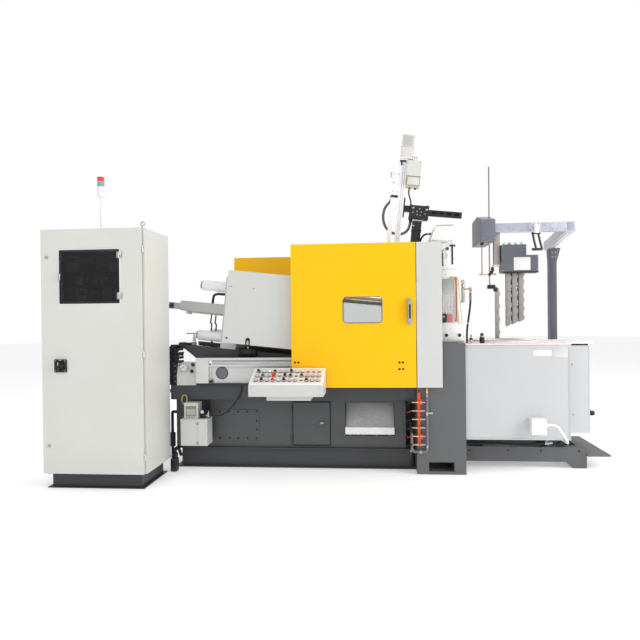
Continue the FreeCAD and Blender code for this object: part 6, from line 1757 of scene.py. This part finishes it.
@dataclass
class Feeder:
    """The post, beam, level box, heater and fume hood over the furnace."""

    post_left: float = 1088
    post_right: float = 1146
    post_flare: float = 36
    post_front: float = 448
    post_back: float = 548
    post_top: float = 1850
    flare_tall: float = 132
    beam_front: float = -120
    beam_back: float = -60
    beam_low: float = 1927
    beam_high: float = 2002
    beam_left: float = 475.5
    beam_right: float = 1132
    arm_left: float = 1056
    heater_front: float = -130
    element_left: float = 578
    element_pitch: float = 52
    element_wide: float = 40
    element_low: float = 1146
    element_top: float = 1594
    element_slant: float = 19
    elbow_x: float = 804
    elbow_y: float = -166
    elbow_front: float = -122

    def build(self) -> None:
        """Build the feeder."""
        self.frame()
        self.level_box()
        self.heater()
        self.elements()
        self.hood()

    def frame(self) -> None:
        """Build the flared post, the falling arm and the beam."""
        post = Shape("feeder_post")
        left, right, knee = self.post_left, self.post_right, self.post_top - self.flare_tall
        post.slab([(left, 2), (right, 2), (right, knee), (right + self.post_flare, self.post_top),
            (left - 8, self.post_top), (left, knee)], Plane.XZ, self.post_front, self.post_back, POST, 3)
        post.block((left - 22, self.post_front - 20, 0.5), (right + 22, self.post_back, 12), POST, 3)
        for x in (left - 10, right + 10):
            post.bolt((x, self.post_front - 8, 12), UP, 7)
        middle = (left + right) / 2
        post.screws((middle - 14, middle + 14), (self.post_front,), (knee + 50, knee + 92), FRONT, 7)
        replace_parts(post.done(), "feeder_frame")
        arm = Shape("feeder_arm")
        drop = self.post_top - 12
        tall = self.beam_high - self.beam_low
        arm.slab([(self.beam_front + 2, self.beam_low), (self.post_back, drop), (self.post_back, drop + tall),
            (self.beam_front + 2, self.beam_high)], Plane.YZ, self.arm_left + 1, self.beam_right - 1, WHITE, 3)
        arm.slab([(self.beam_front + 60, self.beam_low - 13), (self.post_back - 20, drop - 4),
            (self.post_back - 20, drop + 6), (self.beam_front + 60, self.beam_low - 1)], Plane.YZ, self.arm_left + 20,
            self.beam_right - 20, GUARD, 2)
        arm.done()
        beam = Shape("feeder_beam")
        beam.block((self.beam_left, self.beam_front, self.beam_low), (self.arm_left + 6, self.beam_back,
            self.beam_high), BEAM, 4)
        beam.block((self.arm_left + 6, self.beam_front - 2, self.beam_low - 1), (self.beam_right, self.beam_back,
            self.beam_high + 1), BEAM, 3)
        beam.block((760, self.beam_front - 5, self.beam_low - 2), (848, self.beam_front + 2, self.beam_high + 2),
            PANEL, 3)
        for x in (770, 838):
            for z in (self.beam_low + 12, self.beam_high - 12):
                beam.bolt((x, self.beam_front - 5, z), FRONT, 5)
        beam.screws((self.arm_left + 24, self.beam_right - 18), (self.beam_front - 2,), (self.beam_high - 20,), FRONT)
        beam.done()

    def level_box(self) -> None:
        """Build the level control box, its rod, clamps, lever and cast rack."""
        case = Shape("level_box")
        outline = [(-200, 1848), (280, 1848), (280, 2063), (40, 2083), (-200, 2025)]
        case.slab(outline, Plane.YZ, 364, 475, LEVEL, 3)
        case.block((362.5, -201.5, 1846.5), (476.5, -196, 1858), LEVEL, 1.5)
        case.screws((372, 467), (-200,), (1870, 2010), FRONT, 3.5)
        case.rod((384, -90, 1826), UP, 13, 26, PLASTIC, 3)
        case.rod((445, -90, 1836), UP, 12, 14, COIL, 3)
        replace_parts(case.done(), "feeder_box")
        rod = Shape("level_rods")
        rod.rod((445, -90, 1466), UP, 6, 1012, ROD_BROWN, 1, 16)
        rod.rod((384, -90, 1582), UP, 5, 262, ROD_BROWN, 1, 14)
        rod.rod((384, -90, 1592), UP, 8, 16, BRASS, 2, 6)
        rod.rod((362, -90, 1582), RIGHT, 5.5, 138, COIL, 1, 14)
        for x in (364, 486):
            rod.rod((x, -90, 1582), RIGHT, 10, 12, BRASS, 2, 6)
        rod.rod((445, -99, 1582), BACK, 13, 18, BLACK, 2, 6)
        rod.done()
        clamp = Shape("level_clamps")
        clamp.block((458, -104, 1604), (480, -76, 1644), BLACK, 5)
        clamp.block((450, -102, 1588), (474, -78, 1612), BLACK, 4)
        clamp.block((426, -108, 1462), (490, -72, 1496), BLACK, 5)
        clamp.block((476, -104, 1440), (506, -76, 1476), BLACK, 4)
        clamp.bolt((440, -108, 1480), FRONT, 7, DARK_STEEL)
        clamp.bolt((474, -108, 1480), FRONT, 7, DARK_STEEL)
        clamp.done()
        self.cast_bar("level_rack", 486, 521, 1050, 1468, 0, -96, -84, 106)

    def cast_bar(self, name: str, left: float, right: float, low: float, top: float, slant: float, front: float,
            back: float, step: float) -> None:
        """Build a rough cast bar of stacked ribs, with scalloped gaps in its right edge.

        Args:
            name: The piece's name.
            left: Its left edge.
            right: Its right edge, without the ribs' lobes.
            low: Its lowest point.
            top: Its top.
            slant: How much higher its right bottom corner is.
            front: Its front face.
            back: Its back face.
            step: The height of one rib.
        """
        piece = Shape(name)
        piece.slab([(left + 2, low + 3), (right - 6, low + slant + 3), (right - 6, top), (left + 2, top)], Plane.XZ,
            front + 3, back - 3, ELEMENT, 1)
        z = low
        while z < top - 20:
            up = min(z + step - 3, top)
            rise = slant if z == low else 0
            mid = (z + up) / 2
            piece.slab([(left, z), (right, z + rise), (right, mid - 16 + rise / 2), (right + 7, mid - 8),
                (right + 7, mid + 12), (right, mid + 20), (right, up), (left, up)], Plane.XZ, front, back, ELEMENT,
                2.5)
            z += step
        obj = piece.done()
        if name == "heater_element_0":
            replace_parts(obj, "heater_elements")

    def heater(self) -> None:
        """Fit the heater box's bolts, blank plate, flange and pale hanger strip."""
        piece = Shape("heater_box_details")
        f = self.heater_front
        for i in range(4):
            for y in (-104, -60):
                piece.bolt((566 + 46 * i, y, 1822), UP, 10)
                piece.rod((566 + 46 * i, y, 1826), UP, 5, 18 + 4 * (i % 2), SCREW)
        piece.rod((600, -95, 1822), UP, 9, 18, BRASS, 2, 6)
        piece.block((633, f - 2, 1612), (766, f + 1, 1718), LABEL, 1)
        for x in (639, 760):
            for z in (1618, 1712):
                piece.rod((x, f - 2, z), FRONT, 2, 1, SCREW, 0.4, 10)
        piece.block((548, f - 3, 1590), (832, -17, 1602), BLACK, 3)
        piece.block((534, f - 2, 1812), (737, f + 4, 1823), BLUE_GREY, 1.5)
        for x, z in ((545, 1806), (726, 1806), (545, 1612), (820, 1612), (820, 1724)):
            piece.screw((x, f, z), FRONT, 4.5)
        piece.done()
        strap = Shape("heater_hanger_strip")
        strap.block((482, -87, 1664), (531, -83, 1926), STRAP, 1)
        strap.block((478, -88, 1652), (534, -74, 1664), ALUMINIUM, 1.5)
        strap.screws((506,), (-87,), (1690, 1900), FRONT, 6)
        strap.rod((536, -110, 1690), UP, 9, 110, PLASTIC, 3)
        strap.done()

    def elements(self) -> None:
        """Build the three cast heater bars, and black strips of painted shade in the gaps between them."""
        for i in range(3):
            left = self.element_left + self.element_pitch * i
            self.cast_bar(f"heater_element_{i}", left, left + self.element_wide,
                self.element_low + self.element_slant * i, self.element_top, self.element_slant, -85, -65, 74)
        # Painted shade: black strips stand for the bars' shaded sides seen in the gaps; pale discs sit on them.
        spine = Shape("heater_element_spines")
        for left in (576, 619, 671):
            step = left - self.element_left
            spine.block((left, -72, self.element_low + 10 + 0.37 * step), (left + 11, -66, self.element_top - 4),
                BLACK, 1)
            for z in (1300, 1440):
                spine.rod((left - 4, -84, z + 0.3 * step), FRONT, 5, 3, LABEL, 1)
        spine.done()

    def hood(self) -> None:
        """Build the fume elbow, its straps and its plate."""
        x, middle, front = self.elbow_x, self.elbow_y, self.elbow_front
        elbow = Shape("fume_elbow")
        elbow.pipe(route([(x, front, 1967), (x, middle + 16, 1967), (x, middle, 1966), (x, middle, 1950),
            (x, middle, 1913)], 6), 19, PALE_PLASTIC, 20)
        elbow.ring((x, middle, 1908), UP, 24, 17, 14, PALE_PLASTIC, 28)
        elbow.rod((x, front + 1, 1967), FRONT, 26, 6, SCREW, 2)
        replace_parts(elbow.done(), "feeder_hood")
        plate = Shape("fume_plate")
        plate.slab([(x - 56, -240), (x + 34, -240), (x + 56, -140), (x - 20, -140)], Plane.XY, 1767, 1779, BLACK, 2)
        plate.slab([(x - 44, -232), (x + 28, -232), (x + 44, -150), (x - 16, -150)], Plane.XY, 1778, 1780.5, SHEET,
            0.5)
        for top, foot in ((-28, 0), (16, 46)):
            plate.pipe([(x + top, middle, 1916), (x + (top + foot) / 2 - 3, middle - 2, 1850),
                (x + foot, middle - 4, 1776)], 9, BLACK, 8)
        plate.block((x - 36, middle - 12, 1900), (x + 34, middle + 12, 1912), BLACK, 3)
        plate.done()


COATS = ((CABINET, 3.0, ("control_cabinet", "cabinet_door")), (BED, 1.5, ("bed_front_panel", "bed_panels",
    "access_door")), (DARK, 2.0, ("bed_plinth", "bed_deck")), (PLINTH, 2.0, ("cabinet_plinth",)),
    (TROLLEY, 2.0, ("furnace_trolley",)), (STEP, 1.5, ("step_plate",)), (COLUMN, 2.0, ("column",)),
    (GUARD, 2.0, ("toggle_covers", "fixed_guard", "cylinder_guard", "console", "gauge_panel", "lubricator",
    "door_track", "clamp_cylinder", "fixed_platen", "moving_platen", "rear_platen", "toggle_links")),
    (WHITE, 2.0, ("furnace_body", "feeder_box", "feeder_frame")), (LIGHTENED_WHITE, 2.0, ("tie_bar_caps", "shot_body",
    "injection_cover", "injection_frame", "terminal_box")), (YELLOW, 1.5, ("safety_door", "rear_guard")),
    (BLUE_GREY, 2.0, ("heater_box",)), (PALE_BOX, 2.0, ("sprayer_junction_box",)), (BLACK, 1.0,
    ("sprayer_post", "valve_stack", "safety_door_handle", "console_controls", "door_fittings")),
    (SCREW, 0.0, ("mounting_plate", "lifting_eyes")), (STEEL, 0.0, ("tie_bars",)), (CHUTE_LIGHTENED, 0.8, ("discharge_chute",)),
    (ZINC, 0.8, ("feeder_hood",)), (ALUMINIUM, 0.0, ("sprayer_mast",)), (RED_BAR, 1.5, ("water_manifold",)),
    (BRASS, 0.0, ("water_taps",)), (COPPER, 0.0, ("injection_pipes",)), (BOARD, 2.0, ("furnace_lid",)),
    (CAST, 1.5, ("melting_pot",)), (DARK_STEEL, 1.5, ("furnace_wheels",)), (ELEMENT, 1.0, ("heater_elements",)),
    (PALE_PLASTIC, 0.0, ("stack_light",)), (RUBBER, 0.0, ("black_hoses",)), (GREY_STEEL, 0.0, ("water_line",)),
    (GREY_RUBBER, 0.0, ("sprayer_loop",)), (GLASS_DARK, 0.0, ("hatch_pane",)), (GLASS_CLEAR, 0.0,
    ("safety_door_pane",)),)


def main() -> None:
    """Build the machine's looks in order."""
    logging.basicConfig(level=logging.INFO, format="%(message)s")
    build_effects()
    Studio().build()
    for finish, soft, nodes in COATS:
        for node in nodes:
            dress(node, finish, soft)
    clamp = Clamp()
    for part in (ControlCabinet(), Bed(), clamp, Sprayer(clamp.place), Guards(), Console(), OilAndGauge(), Water(),
            Injection(), Furnace(), Feeder()):
        part.build()


if __name__ == "__main__":
    main()
